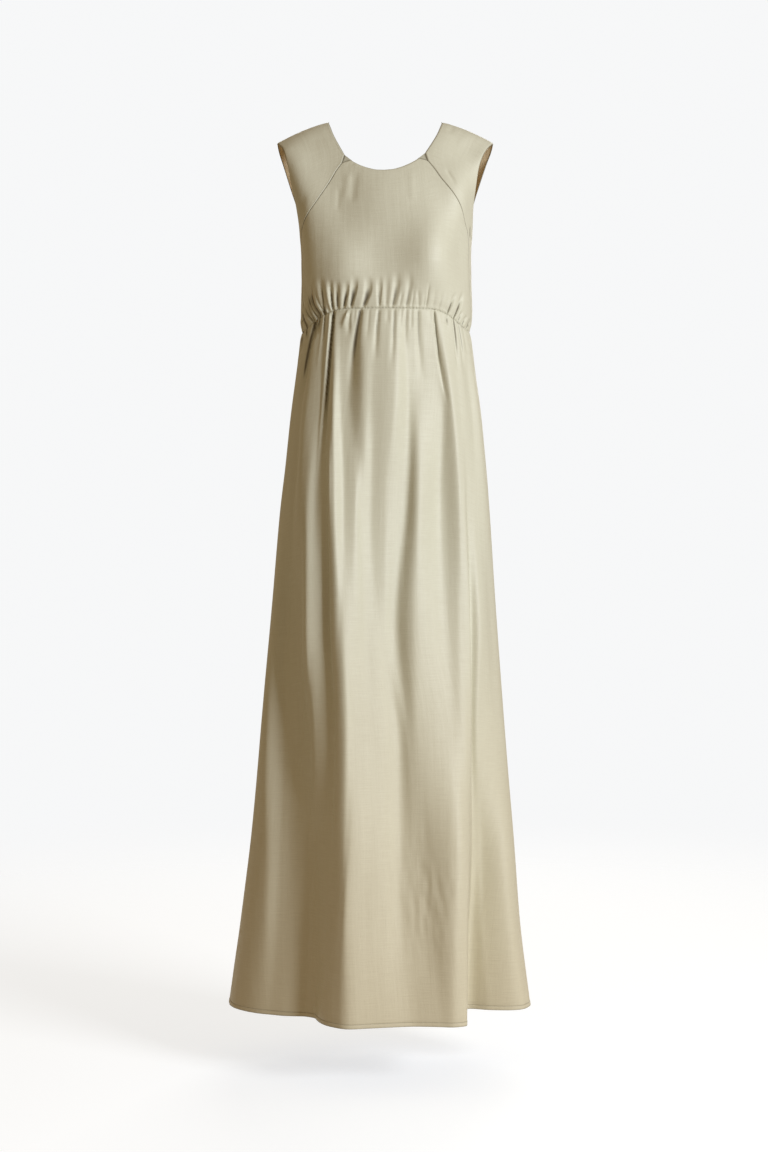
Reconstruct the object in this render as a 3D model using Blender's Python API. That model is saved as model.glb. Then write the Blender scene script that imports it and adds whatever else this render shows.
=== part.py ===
# Sleeveless maxi dress with an empire line, as a hollow garment filled out by a plain figure.
# The origin is midway between the two neck ends of the shoulder line. +X is the viewer's right,
# -Y is the front and +Z is up. Tables and sizes are in millimetres; meshes are in metres.

import math
from functools import lru_cache

import bmesh
import bpy
import numpy as np

MM = 0.001

# Driving dimensions
HEM_HEIGHT = -1366.0
SEAM_FRONT_HEIGHT = -302.0
SEAM_SIDE_HEIGHT = -327.0
SHOULDER_NECK_X = 88.4
CLOTH = 1.2
SEAM_GAP = 0.45
WAIST_GAP = 0.54
SEAM_GATHER = 0.45
UNDERLAP_GAP = 1.05
SHOULDER_ROUND = 11.0
SHOULDER_FALL_FRONT = 0.80
SHOULDER_FALL_BACK = 0.86
SIDE_ANGLE = 90.0
SIDE_TRIM = 0.032
RIDGE_DROP = 0.038
HEM_TURN = 7.0
HEM_RAISE = 0.5

# The plain figure's level sections: half width, sideways shift, depth in front and behind,
# and the power of the depth curve, under 1 where the section is squarer than an ellipse.
SECTION_COLUMNS = ("height", "half_width", "shift", "front", "back", "power")
SECTIONS = (
    (0.0, 208.0, -1.0, 64.0, 60.0, 0.90),
    (-34.0, 184.5, -1.2, 68.0, 66.0, 0.90),
    (-61.0, 167.8, -2.0, 75.0, 76.0, 0.88),
    (-99.0, 152.3, -2.4, 87.0, 88.0, 0.86),
    (-138.0, 139.6, -1.6, 96.0, 95.0, 0.84),
    (-176.0, 133.8, 0.0, 102.0, 97.0, 0.82),
    (-214.0, 131.4, 0.3, 105.0, 96.0, 0.82),
    (-253.0, 131.4, 0.8, 105.0, 93.0, 0.82),
    (-291.0, 130.4, 0.8, 103.0, 90.0, 0.84),
    (-325.0, 130.0, -0.4, 103.0, 88.0, 0.86),
    (-365.0, 134.0, -0.4, 107.0, 92.0, 0.88),
    (-445.0, 146.0, -0.6, 112.0, 102.0, 0.92),
    (-525.0, 154.4, -0.6, 114.0, 108.0, 0.95),
    (-605.0, 162.0, -2.0, 115.0, 112.0, 0.97),
    (-765.0, 174.6, -3.2, 117.0, 118.0, 1.0),
    (-925.0, 187.5, -4.4, 118.0, 122.0, 1.0),
    (-1085.0, 201.0, -5.2, 119.0, 126.0, 1.0),
    (-1245.0, 217.0, -9.0, 120.0, 130.0, 1.0),
    (-1366.0, 233.0, -9.5, 120.0, 133.0, 1.0),
)

# Lines of the cut, each row a distance from the middle and a height.
SHOULDER_LINE = (
    (88.4, 0.0),
    (109.0, -6.4),
    (132.5, -16.0),
    (150.0, -24.2),
    (168.0, -33.6),
    (215.0, -66.0),
)
SEAM_LINE = (
    (127.2, -327.0),
    (127.2, -201.0),
    (125.9, -180.2),
    (120.5, -165.6),
    (109.6, -142.9),
    (97.5, -120.4),
    (84.7, -100.0),
    (75.8, -85.3),
    (65.5, -71.7),
)
SIDE_NECK_LINE = ((61.5, -58.5), (70.2, -42.3), (80.4, -21.8), (88.4, 0.0))
FRONT_NECK_LINE = ((0.0, -87.9), (12.0, -86.9), (24.0, -83.5), (36.0, -78.2), (48.0, -70.4), (60.0, -59.6))
NOTCH_LINE = ((0.0, -57.0), (51.0, -68.4), (65.5, -71.7))
UNDERLAP_CORNERS = ((49.5, -69.4), (62.7, -57.6), (58.5, -86.0), (76.0, -72.5))
BACK_NECK_LINE = ((0.0, -118.0), (30.0, -112.0), (55.0, -92.0), (72.0, -60.0), (82.0, -28.0), (88.4, 0.0))

# Armhole edges, each row a height and the angle round the figure from the middle.
ARMHOLE_FRONT = (
    (-33.6, 65.6),
    (-46.0, 63.4),
    (-67.0, 65.2),
    (-87.0, 67.4),
    (-106.0, 70.6),
    (-123.0, 74.3),
    (-140.0, 78.0),
    (-157.0, 81.6),
    (-173.0, 85.4),
    (-187.0, 90.0),
)
ARMHOLE_BACK = (
    (-33.6, 65.6),
    (-41.0, 68.2),
    (-53.0, 71.2),
    (-70.0, 73.8),
    (-89.0, 75.4),
    (-108.0, 76.2),
    (-127.0, 77.2),
    (-147.0, 79.4),
    (-167.0, 83.2),
    (-180.0, 86.8),
    (-187.0, 90.0),
)
# Where the side panel's and the back's rows end on the side seam, from the waist seam up.
SIDE_SEAM_HEIGHTS = (-319.0, -307.0, -292.0, -276.0, -254.0, -230.0, -208.0, -187.0)
SEAM_HEIGHTS = (-319.0, -307.0, -292.0, -276.0, -254.0, -230.0, -207.0, -185.0)
SEAM_HEIGHTS += (-168.0, -150.0, -130.0, -110.0, -92.0)

# Soft rounding of the bodice front over a plain dress form.
BUST = {"x": 74.0, "height": -226.0, "out": 19.0, "wide": 46.0, "above": 74.0, "below": 46.0}

# Soft swells and hollows of the bodice's front: x, height, width, length and how far out
BODICE_SWELLS = {
    "right_shoulder": (120.0, -55.0, 35.0, 35.0, -8.0),
    "right_armhole": (110.0, -130.0, 25.0, 50.0, 12.0),
    "right_side": (125.0, -180.0, 40.0, 80.0, -6.0),
    "right_bust": (75.0, -210.0, 30.0, 55.0, 9.0),
    "middle": (-20.0, -230.0, 45.0, 55.0, -5.0),
    "left_chest": (-70.0, -155.0, 45.0, 80.0, -12.0),
    "left_shoulder": (-120.0, -85.0, 35.0, 70.0, -10.0),
    "left_armhole": (-150.0, -165.0, 60.0, 110.0, 15.0),
    "left_side": (-125.0, -260.0, 30.0, 45.0, -9.0),
}

# Gathers at the elastic waist seam: how many, how deep and how long.
GATHERS = {
    "front": {"count": 20, "deep": 2.0, "long": 36.0},
    "side": {"count": 3, "deep": 2.0, "long": 36.0},
    "back": {"count": 24, "deep": 2.0, "long": 36.0},
    "skirt_front": {"count": 24, "deep": 1.8, "long": 52.0},
    "skirt_back": {"count": 18, "deep": 2.3, "long": 56.0},
}

# Skirt fold lines. A lane is a column of the panel. In front, each line has its place in mm from the
# middle, and how far it stands out from the plain form, at the heights in FRONT_LEVELS.
# At the back, places are shares of the way to the side seams, at stations from waist seam to hem.
FRONT_LANES, BACK_LANES = 48, 36
FRONT_LEVELS = (-315.0, -430.0, -590.0, -780.0, -960.0, -1150.0, -1366.0)
FRONT_FOLDS = {
    "side_ridge": (4, (-121, -138, -155, -170, -181, -182, -194), (0, -2, -3, 3, 4, 2, -4)),
    "side_hollow": (6.5, (-115, -130, -142, -157, -163, -164, -174), (0, -2, -2, -12, -14, -9, -7)),
    "left_slope": (8.5, (-108, -118, -122, -126, -140, -148, -156), (0, 3, 13, 2, -17, -14, -8)),
    "thin_ridge": (10, (-102, -105, -109, -110, -113, -130, -140), (0, 0, 17, 24, 3, -15, -12)),
    "ridge_foot": (11.5, (-97, -98, -97, -98, -103, -112, -126), (0, -2, 11, 20, 14, -11, -15)),
    "slit_floor": (13, (-92, -90, -84, -81, -76, -84, -108), (0, 0, 13, 12, 20, 20, -8)),
    "slit_wall": (14.5, (-84, -84, -78, -75, -71, -79, -101), (0, 1, 22, 26, 24, 25, 6)),
    "front_edge": (16, (-76, -77, -71, -65, -67, -74, -91), (0, 5, 22, 33, 33, 30, 24)),
    "edge_run": (17.5, (-68, -69, -61, -57, -53, -58, -75), (0, -1, 8, 33, 42, 45, 42)),
    "left_dent": (19, (-51, -56, -46, -43, -44, -50, -52), (0, -3, 8, 23, 36, 48, 55)),
    "left_swell": (21, (-33, -32, -36, -29, -22, -22, -24), (0, 7, 0, 9, 22, 36, 48)),
    "middle_dent": (23, (-14, -17, -21, -17, -6, -4, 2), (0, 5, -9, 3, 14, 28, 42)),
    "middle_swell": (25, (14, 14, -1, -3, 20, 21, 32), (0, 8, -8, -3, 2, 17, 38)),
    "long_valley": (27, (30, 35, 33, 15, 33, 42, 56), (0, -9, -18, -11, 8, 21, 42)),
    "right_swell": (29, (50, 52, 51, 44, 46, 56, 72), (0, -9, -5, 5, 13, 27, 47)),
    "right_dent": (31, (72, 86, 89, 87, 92, 90, 89), (0, -5, -19, -3, 19, 50, 53)),
    "fold_edge": (33, (81, 96, 110, 108, 108, 107, 104), (0, 5, 2, 7, 20, 39, 50)),
    "right_step": (35, (98, 110, 117, 121, 122, 123, 117), (0, 0, 2, 9, 12, 7, 0)),
    "fold_foot": (37, (103, 117, 124, 127, 130, 146, 146), (0, 0, -2, 1, -6, -29, -56)),
    "right_flat": (41, (117, 130, 135, 137, 140, 160, 178), (0, -3, -1, 9, 0, -24, -30)),
    "right_swell_low": (44.5, (124, 137, 151, 164, 172, 183, 212), (0, 2, 2, -3, -2, 3, 0)),
}
BACK_STATIONS = (0.0, 0.114, 0.261, 0.4075, 0.554, 0.774, 1.0)
BACK_FOLDS = {
    "side_a": (0, (-1.0, -1.0, -1.0, -1.0, -1.0, -1.0, -1.0), (0, 0, 0, 0, 0, 0, 0)),
    "swell_a": (5, (-0.86, -0.86, -0.87, -0.86, -0.84, -0.82, -0.80), (0, 4, 8, 10, 12, 14, 16)),
    "valley_a": (8, (-0.68, -0.70, -0.71, -0.70, -0.68, -0.66, -0.64), (0, -6, -10, -10, -9, -8, -8)),
    "swell_b": (12, (-0.45, -0.46, -0.44, -0.43, -0.45, -0.44, -0.42), (0, 6, 11, 16, 20, 25, 30)),
    "valley_b": (16, (-0.18, -0.17, -0.20, -0.22, -0.20, -0.18, -0.18), (0, -3, -5, -6, -6, -4, 0)),
    "swell_c": (20, (0.10, 0.08, 0.05, 0.04, 0.06, 0.08, 0.08), (0, 5, 12, 18, 24, 30, 36)),
    "valley_c": (24, (0.36, 0.34, 0.31, 0.30, 0.31, 0.33, 0.33), (0, -4, -6, -6, -5, -4, -2)),
    "swell_d": (28, (0.62, 0.60, 0.58, 0.56, 0.56, 0.57, 0.57), (0, 6, 10, 14, 18, 22, 26)),
    "valley_d": (32, (0.84, 0.83, 0.82, 0.80, 0.79, 0.78, 0.78), (0, -2, -5, -7, -7, -6, -6)),
    "side_b": (36, (1.0, 1.0, 1.0, 1.0, 1.0, 1.0, 1.0), (0, 0, 0, 0, 0, 0, 0)),
}
# Rows down the skirt, as shares of the way from the waist seam to the hem. The first few,
# where the gathers are, have twice the columns.
GATHER_ROWS = (0.0, 0.0075, 0.02, 0.038, 0.06)
LONG_ROWS = (0.09, 0.125, 0.165, 0.215, 0.27, 0.33, 0.40, 0.47, 0.55, 0.63, 0.71, 0.79, 0.865, 0.935)

CLOTH_COLOUR = (0.47, 0.44, 0.33, 1.0)
INNER_COLOUR = (0.42, 0.38, 0.27, 1.0)
CLOTH_ROUGHNESS = 0.55


class Curve:
    """A smooth line through a table's points that never swings past them."""

    def __init__(self, places, values):
        order = np.argsort(places)
        self.at = [float(places[k]) for k in order]
        self.value = [float(values[k]) for k in order]
        step = np.diff(self.at)
        rise = np.diff(self.value) / step
        slope = [rise[0]]
        for k in range(1, len(step)):
            before, after = rise[k - 1], rise[k]
            if before * after <= 0:
                slope.append(0.0)
                continue
            weight_a = 2 * step[k] + step[k - 1]
            weight_b = step[k] + 2 * step[k - 1]
            slope.append((weight_a + weight_b) / (weight_a / before + weight_b / after))
        slope.append(rise[-1])
        self.slope = [float(s) for s in slope]

    def __call__(self, place):
        at = self.at
        if place <= at[0]:
            return self.value[0] + self.slope[0] * (place - at[0])
        if place >= at[-1]:
            return self.value[-1] + self.slope[-1] * (place - at[-1])
        k = int(np.searchsorted(at, place, side="right")) - 1
        width = at[k + 1] - at[k]
        t = (place - at[k]) / width
        return (
            self.value[k] * (1 + 2 * t) * (1 - t) ** 2
            + self.slope[k] * width * t * (1 - t) ** 2
            + self.value[k + 1] * t * t * (3 - 2 * t)
            + self.slope[k + 1] * width * t * t * (t - 1)
        )


def column(table, number):
    return [row[number] for row in table]


def ease(share):
    """0 to 1 with no kink at either end."""
    share = min(1.0, max(0.0, share))
    return share * share * (3 - 2 * share)


SECTION = {
    name: Curve(column(SECTIONS, 0), column(SECTIONS, number))
    for number, name in enumerate(SECTION_COLUMNS)
    if number
}
shoulder_height = Curve(column(SHOULDER_LINE, 0), column(SHOULDER_LINE, 1))
seam_distance = Curve(column(SEAM_LINE, 1), column(SEAM_LINE, 0))
neck_arc = Curve(column(FRONT_NECK_LINE, 0), column(FRONT_NECK_LINE, 1))
notch_top = Curve(column(NOTCH_LINE, 0), column(NOTCH_LINE, 1))
back_neck_height = Curve(column(BACK_NECK_LINE, 0), column(BACK_NECK_LINE, 1))
armhole_front = Curve(column(ARMHOLE_FRONT, 0), column(ARMHOLE_FRONT, 1))
armhole_back = Curve(column(ARMHOLE_BACK, 0), column(ARMHOLE_BACK, 1))


def ridge(x):
    """Height of the shoulder line at a distance from the middle; level across the neck."""
    return shoulder_height(abs(x)) if abs(x) > SHOULDER_NECK_X else 0.0


def front_neck_height(x):
    """Top edge of the middle front: the neckline's arc, cut off flat in the notch."""
    return min(neck_arc(x), notch_top(x))


def waist(angle):
    """Height of the waist seam, level in front and lower from the sides to the back."""
    return SEAM_FRONT_HEIGHT + (SEAM_SIDE_HEIGHT - SEAM_FRONT_HEIGHT) * ease((abs(angle) - 30.0) / 46.0)


def section_depth(angle, height, x):
    """Depth of the figure in front of or behind the side line, and the sign of y."""
    turn = math.cos(math.radians(angle))
    in_front = turn >= 0
    depth = SECTION["front" if in_front else "back"](height)
    depth *= max(abs(turn), 1e-9) ** SECTION["power"](height)
    if in_front:
        tall = BUST["above"] if height > BUST["height"] else BUST["below"]
        lift = math.exp(-(((height - BUST["height"]) / tall) ** 2))
        for side in (-1, 1):
            swell = math.exp(-(((x - side * BUST["x"]) / BUST["wide"]) ** 2))
            depth += BUST["out"] * lift * swell * abs(turn)
    return depth, -1.0 if in_front else 1.0


def figure(angle, drop):
    """A point of the plain figure. drop squared is the fall below the shoulder line, so that the
    surface runs smoothly over the shoulder; angle 0 is the front and 180 the back."""
    fall = drop * drop
    height = -fall
    x = 0.0
    for _ in range(9):
        x = SECTION["half_width"](height) * math.sin(math.radians(angle))
        height = ridge(x) - fall
    depth, sign = section_depth(angle, height, x)
    slope = SHOULDER_FALL_FRONT if sign < 0 else SHOULDER_FALL_BACK
    roof = drop * math.sqrt(2 * SHOULDER_ROUND + (slope * drop) ** 2)
    y = sign * roof / (1 + (roof / depth) ** 4) ** 0.25
    return np.array((x + SECTION["shift"](height), y, height))


def place(x, height):
    """Angle and drop of the point of the figure's front at a distance x and a height."""
    angle = math.degrees(math.asin(min(1.0, x / SECTION["half_width"](height))))
    return angle, math.sqrt(max(0.0, ridge(x) - height))


def drop_at(angle, height):
    x = SECTION["half_width"](height) * math.sin(math.radians(angle))
    return math.sqrt(max(0.0, ridge(x) - height))


SEAM_ANGLE_LOW = place(seam_distance(SEAM_SIDE_HEIGHT), SEAM_SIDE_HEIGHT)[0]


def gather_wave(angle):
    """Crests and hollows round the bodice, a whole number on each panel, and their depth."""
    turn = abs((angle + 180.0) % 360.0 - 180.0)
    if turn <= SEAM_ANGLE_LOW:
        rule, share = GATHERS["front"], (turn / SEAM_ANGLE_LOW + 1) / 2
    elif turn <= SIDE_ANGLE:
        rule, share = GATHERS["side"], (turn - SEAM_ANGLE_LOW) / (SIDE_ANGLE - SEAM_ANGLE_LOW)
    else:
        rule, share = GATHERS["back"], (turn - SIDE_ANGLE) / (360.0 - 2 * SIDE_ANGLE)
    uneven = 0.8 + 0.2 * math.sin(turn * 0.31) + 0.15 * math.sin(turn * 0.83 + 1.0)
    return rule, uneven * math.cos(2 * math.pi * rule["count"] * share)


def bodice_swell(point, angle, above):
    """How far the front stands out from the plain figure; nothing at its edges."""
    if abs(angle) >= 81.0:
        return 0.0
    total = 0.0
    for x, height, wide, tall, out in BODICE_SWELLS.values():
        total += out * math.exp(-(((point[0] - x) / wide) ** 2) - ((point[2] - height) / tall) ** 2)
    fall = ridge(point[0]) - point[2]
    return total * ease((81.0 - abs(angle)) / 30.0) * ease(fall / 30.0) * ease((above - 2.0) / 20.0)


def bodice(angle, drop):
    """The bodice's outer surface: the figure, drawn in and gathered just above the waist seam."""
    point = figure(angle, drop)
    above = point[2] - waist(angle)
    rule, wave = gather_wave(angle)
    length = rule["long"] * (0.8 + 0.3 * math.sin(angle * 0.57 + 0.6))
    puff = 2.6 * ease(above / 16.0) * (1 - ease((above - 22.0) / 60.0))
    rise = SEAM_GATHER + (1 - SEAM_GATHER) * ease(above / 9.0)
    out = puff + rule["deep"] * wave * rise * (1 - ease(above / length)) + bodice_swell(point, angle, above)
    across = np.array((point[0] / 136.0**2, point[1] / 100.0**2, 0.0))
    return point + out * across / np.linalg.norm(across)


@lru_cache(maxsize=None)
def fold_rows(front):
    """Stations from waist seam to hem, and each fold line's lane, shares across and distances out."""
    if not front:
        return BACK_STATIONS, tuple(BACK_FOLDS.values())
    top, hem = FRONT_LEVELS[0], FRONT_LEVELS[-1]
    stations = tuple((top - level) / (top - hem) for level in FRONT_LEVELS)
    flat = (0,) * len(stations)
    rows = [(0, (-1,) * len(stations), flat)]
    for lane, places, outs in FRONT_FOLDS.values():
        across = [(x - SECTION["shift"](z)) / SECTION["half_width"](z) for x, z in zip(places, FRONT_LEVELS)]
        rows.append((lane, across, outs))
    rows.append((FRONT_LANES, (1,) * len(stations), flat))
    return stations, tuple(rows)


@lru_cache(maxsize=None)
def fold_lines(front, share):
    """Two curves over the columns at one level: place across the panel and distance out."""
    stations, table = fold_rows(front)
    lanes, angles, outs = [], [], []
    for lane, across, out in table:
        lanes.append(lane)
        angles.append(Curve(stations, [math.degrees(math.asin(place)) for place in across])(share))
        outs.append(Curve(stations, out)(share))
    return Curve(lanes, angles), Curve(lanes, outs)


def skirt(front, lane, share, raise_hem=0.0):
    """The skirt's outer surface at a column and a share of the way down."""
    inside = min(max(share, 0.0), 1.0)
    angle_at, out_at = fold_lines(front, round(inside, 5))
    turn = angle_at(lane)
    angle = turn if front else 180.0 - turn
    top = waist(turn) if front else SEAM_SIDE_HEIGHT
    height = top + (HEM_HEIGHT - top) * share
    rad = math.radians(angle)
    x = SECTION["half_width"](height) * math.sin(rad)
    depth, sign = section_depth(angle, height, x)
    fade = 1 / (1 + (depth / (0.8 * -height)) ** 4) ** 0.25
    point = np.array((x + SECTION["shift"](height), sign * depth * fade, height))
    rule = GATHERS["skirt_front" if front else "skirt_back"]
    lanes = FRONT_LANES if front else BACK_LANES
    below = top - height
    uneven = 0.8 + 0.25 * math.sin(lane * 0.9 + 0.4) + 0.15 * math.sin(lane * 2.3)
    length = rule["long"] * (0.85 + 0.35 * math.sin(lane * 1.37))
    wave = math.cos(2 * math.pi * rule["count"] * lane / lanes)
    wave *= rule["deep"] * uneven * (1 - ease(below / length))
    seam_rule, seam_wave = gather_wave(angle)
    leave = ease(below / 12.0)
    puff = 2.0 * leave * (1 - ease((below - 30.0) / 90.0))
    out = out_at(lane) + puff + wave * leave + raise_hem
    out += SEAM_GATHER * seam_rule["deep"] * seam_wave * (1 - leave)
    base_depth = SECTION["front" if front else "back"](height)
    half_width = SECTION["half_width"](height)
    across = np.array((math.sin(rad) / half_width, -math.cos(rad) / base_depth, 0.0))
    return point + out * across / np.linalg.norm(across)


def inward(surface, a, b, step_a, step_b, level, side=0.0):
    """Unit normal of a surface, into the garment. Level 1 makes it horizontal, as at the waist
    seam, and side 1 turns it straight out to the side, as at a side seam."""
    along_a = surface(a + step_a, b) - surface(a - step_a, b)
    along_b = surface(a, b + step_b) - surface(a, b - step_b)
    normal = np.cross(along_a, along_b)
    normal[2] *= 1 - level
    normal[1] *= 1 - side
    return normal / np.linalg.norm(normal)


def bodice_wall(angle, drop, inset=0.0):
    """Outer and inner point of the bodice's wall, moved in by inset."""
    point = bodice(angle, drop)
    level = 1 - ease((point[2] - waist(angle)) / 12.0)
    turn = abs((angle + 180.0) % 360.0 - 180.0)
    side = (1 - ease(abs(turn - SIDE_ANGLE) / 5.0)) * ease((-100.0 - point[2]) / 60.0)
    normal = inward(bodice, angle, drop, 0.15, 0.02, level, side)
    return point + inset * normal, point + (inset + CLOTH) * normal


def skirt_wall(front, lane, share, raise_hem=0.0):
    def surface(a, b):
        return skirt(front, a, b, raise_hem)

    point = surface(lane, share)
    level = 1 - ease(share / 0.02)
    side = 1 - ease(min(lane, (FRONT_LANES if front else BACK_LANES) - lane) / 1.0)
    normal = inward(surface, lane, min(max(share, 0.0006), 0.9994), 0.03, 0.0005, level, side)
    thick = (CLOTH + raise_hem) * (1 if front else -1)
    return point, point + thick * normal


def cloth_panel(name, rows, material):
    """A closed wall through rows of outer and inner points. A row may have twice the columns
    of the next one."""
    mesh = bmesh.new()
    outer = [[mesh.verts.new(pair[0] * MM) for pair in row] for row in rows]
    inner = [[mesh.verts.new(pair[1] * MM) for pair in row] for row in rows]
    for skin, flip in ((outer, False), (inner, True)):
        for low, high in zip(skin, skin[1:]):
            for corners in strip(low, high):
                mesh.faces.new(corners[::-1] if flip else corners)
    border = [(0, k) for k in range(len(rows[0]))]
    border += [(r, -1) for r in range(1, len(rows))]
    border += [(len(rows) - 1, k) for k in range(len(rows[-1]) - 2, -1, -1)]
    border += [(r, 0) for r in range(len(rows) - 2, 0, -1)]
    for (r, k), (s, m) in zip(border, border[1:] + border[:1]):
        a, b, c, d = outer[s][m], outer[r][k], inner[r][k], inner[s][m]
        mesh.faces.new((a, b, c))
        mesh.faces.new((a, c, d))
    bmesh.ops.recalc_face_normals(mesh, faces=mesh.faces)
    data = bpy.data.meshes.new(name)
    mesh.to_mesh(data)
    mesh.free()
    data.materials.append(material)
    data.shade_smooth()
    data.set_sharp_from_angle(angle=math.radians(50))
    panel = bpy.data.objects.new(name, data)
    bpy.context.scene.collection.objects.link(panel)
    return panel


def strip(low, high):
    """Triangles between two rows of points, with equal columns or two to one."""
    faces = []
    if len(low) == len(high):
        for k in range(len(low) - 1):
            faces.append((low[k], low[k + 1], high[k + 1]))
            faces.append((low[k], high[k + 1], high[k]))
        return faces
    for k in range(len(high) - 1):
        faces.append((low[2 * k], low[2 * k + 1], high[k]))
        faces.append((low[2 * k + 1], high[k + 1], high[k]))
        faces.append((low[2 * k + 1], low[2 * k + 2], high[k + 1]))
    return faces


def seam_places():
    """Angle and drop at each row end on the long front seam, from the waist seam to the notch."""
    rows = [(SEAM_ANGLE_LOW, drop_at(SEAM_ANGLE_LOW, waist(SEAM_ANGLE_LOW) + WAIST_GAP / 2))]
    for height in SEAM_HEIGHTS:
        rows.append(place(seam_distance(height), height))
    rows.append(place(*SEAM_LINE[-1]))
    return rows


def shift_angle(height):
    """Angle that moves a point half a seam gap sideways."""
    return math.degrees(0.75 * SEAM_GAP / SECTION["half_width"](height))


def front_panel(material):
    """Middle front, between the two long seams, from the waist seam to the neckline."""
    ends = seam_places()
    low_drop, notch_drop = ends[0][1], ends[-1][1]
    rows = []
    for number, (end_angle, end_drop) in enumerate(ends):
        columns = 80 if number < 4 else 40
        share_up = (low_drop - end_drop) / (low_drop - notch_drop)
        edge_angle = end_angle - shift_angle(-end_drop * end_drop)
        row = []
        for k in range(columns + 1):
            across = 2 * k / columns - 1
            angle = edge_angle * across
            low = drop_at(angle, waist(SEAM_ANGLE_LOW * across) + WAIST_GAP / 2)
            neck_x = abs(across) * NOTCH_LINE[-1][0]
            top = place(neck_x, front_neck_height(neck_x))[1]
            row.append(bodice_wall(angle, low + (top - low) * share_up))
        rows.append(row)
    return cloth_panel("front_panel", rows, material)


def side_inner_edge():
    """The side panel's front edge: the long seam, the notch, and the neckline to the shoulder."""
    ends = [(angle + shift_angle(-drop * drop), drop) for angle, drop in seam_places()]
    ends += [place(x, height) for x, height in SIDE_NECK_LINE]
    return ends


def side_outer_edge():
    """The side panel's back edge: the side seam, then the armhole to the shoulder tip."""
    low = drop_at(SIDE_ANGLE, SEAM_SIDE_HEIGHT + WAIST_GAP / 2)
    ends = [(SIDE_ANGLE - SIDE_TRIM, low)]
    ends += [(SIDE_ANGLE - SIDE_TRIM, drop_at(SIDE_ANGLE, height)) for height in SIDE_SEAM_HEIGHTS]
    left = len(side_inner_edge()) - len(ends)
    heights = Curve((0, 0.25 * left, left), (ARMHOLE_FRONT[-1][0], -158.0, ARMHOLE_FRONT[0][0]))
    for number in range(1, left + 1):
        height = heights(number)
        angle = armhole_front(height)
        ends.append((angle, drop_at(angle, height) if number < left else 0.0))
    return ends


def side_panel(side, material):
    """Side front, from the waist seam under the arm and up to the shoulder."""
    inner, outer = side_inner_edge(), side_outer_edge()
    rows = []
    for number, (start, end) in enumerate(zip(inner, outer)):
        columns = 12 if number < 4 else 6
        row = []
        for k in range(columns + 1):
            share = k / columns
            angle = start[0] + (end[0] - start[0]) * share
            drop = start[1] + (end[1] - start[1]) * share
            if number == 0:
                drop = drop_at(angle, waist(angle) + WAIST_GAP / 2)
            drop = max(drop, RIDGE_DROP)
            row.append(bodice_wall(side * angle, drop))
        rows.append(row[::side])
    return cloth_panel("side_panel_right" if side > 0 else "side_panel_left", rows, material)


def back_panel(material):
    """Back bodice in one piece, cut low, with a strap up to each shoulder."""
    low = drop_at(SIDE_ANGLE, SEAM_SIDE_HEIGHT + WAIST_GAP / 2)
    side_angle = SIDE_ANGLE - SIDE_TRIM
    edge = [(side_angle, low)]
    edge += [(side_angle, drop_at(SIDE_ANGLE, height)) for height in SIDE_SEAM_HEIGHTS]
    for height in (-178.0, -162.0, -140.0, -117.0, -95.0, -74.0, -54.0, -42.0):
        edge.append((armhole_back(height), drop_at(armhole_back(height), height)))
    edge.append((ARMHOLE_BACK[0][1], 0.0))
    neck_share = 0.58
    tip_angle = ARMHOLE_BACK[0][1]
    neck_angle = place(*BACK_NECK_LINE[-1])[0]
    rows = []
    for number, (edge_angle, edge_drop) in enumerate(edge):
        columns = 72 if number < 4 else 36
        up = 1 - edge_drop / low
        row = []
        for k in range(columns + 1):
            across = 2 * k / columns - 1
            reach = abs(across)
            if reach <= neck_share:
                x = BACK_NECK_LINE[-1][0] * (1 - (1 - reach / neck_share) ** 1.6)
                top_angle, top_drop = place(x, back_neck_height(x))
            else:
                along = (reach - neck_share) / (1 - neck_share)
                top_angle, top_drop = neck_angle + (tip_angle - neck_angle) * along, 0.0
            low_angle = side_angle * reach
            low_drop = drop_at(low_angle, SEAM_SIDE_HEIGHT + WAIST_GAP / 2)
            straight = side_angle + (tip_angle - side_angle) * up
            angle = low_angle + (top_angle - low_angle) * up + (edge_angle - straight) * reach**4
            drop = low_drop + (top_drop - low_drop) * up
            drop = max(drop, RIDGE_DROP)
            row.append(bodice_wall(180.0 - math.copysign(angle, across), drop))
        rows.append(row)
    return cloth_panel("back_panel", rows, material)


def neck_tab(side, material):
    """Small underlap that shows in the notch where the long seam meets the neckline."""
    steps = 4
    rows = []
    for j in range(steps + 1):
        down = j / steps
        row = []
        for i in range(steps + 1):
            along = i / steps
            x = sum(w * UNDERLAP_CORNERS[n][0] for n, w in enumerate(bilinear(along, down)))
            height = sum(w * UNDERLAP_CORNERS[n][1] for n, w in enumerate(bilinear(along, down)))
            angle, drop = place(x, height)
            row.append(bodice_wall(side * angle, drop, CLOTH + UNDERLAP_GAP))
        rows.append(row[::side])
    return cloth_panel("neck_tab_right" if side > 0 else "neck_tab_left", rows, material)


def bilinear(along, down):
    return ((1 - along) * (1 - down), along * (1 - down), (1 - along) * down, along * down)


def skirt_panel(name, front, material):
    """Front or back of the skirt, gathered at the waist seam, with a narrow turned hem."""
    lanes = FRONT_LANES if front else BACK_LANES
    drop_height = SEAM_SIDE_HEIGHT - HEM_HEIGHT
    seam_share = WAIST_GAP / 2 / drop_height
    hem_share = 1 - HEM_TURN / drop_height
    levels = [(max(share, seam_share), 0.0) for share in GATHER_ROWS + LONG_ROWS]
    levels += [(hem_share - 0.0006, 0.0), (hem_share, HEM_RAISE), (1.0, HEM_RAISE)]
    side_gap = 0.015
    rows = []
    for number, (share, raised) in enumerate(levels):
        columns = 2 * lanes if number < len(GATHER_ROWS) else lanes
        row = []
        for k in range(columns + 1):
            lane = min(max(k * lanes / columns, side_gap), lanes - side_gap)
            row.append(skirt_wall(front, lane, share, raised))
        rows.append(row)
    return cloth_panel(name, rows, material)


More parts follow.
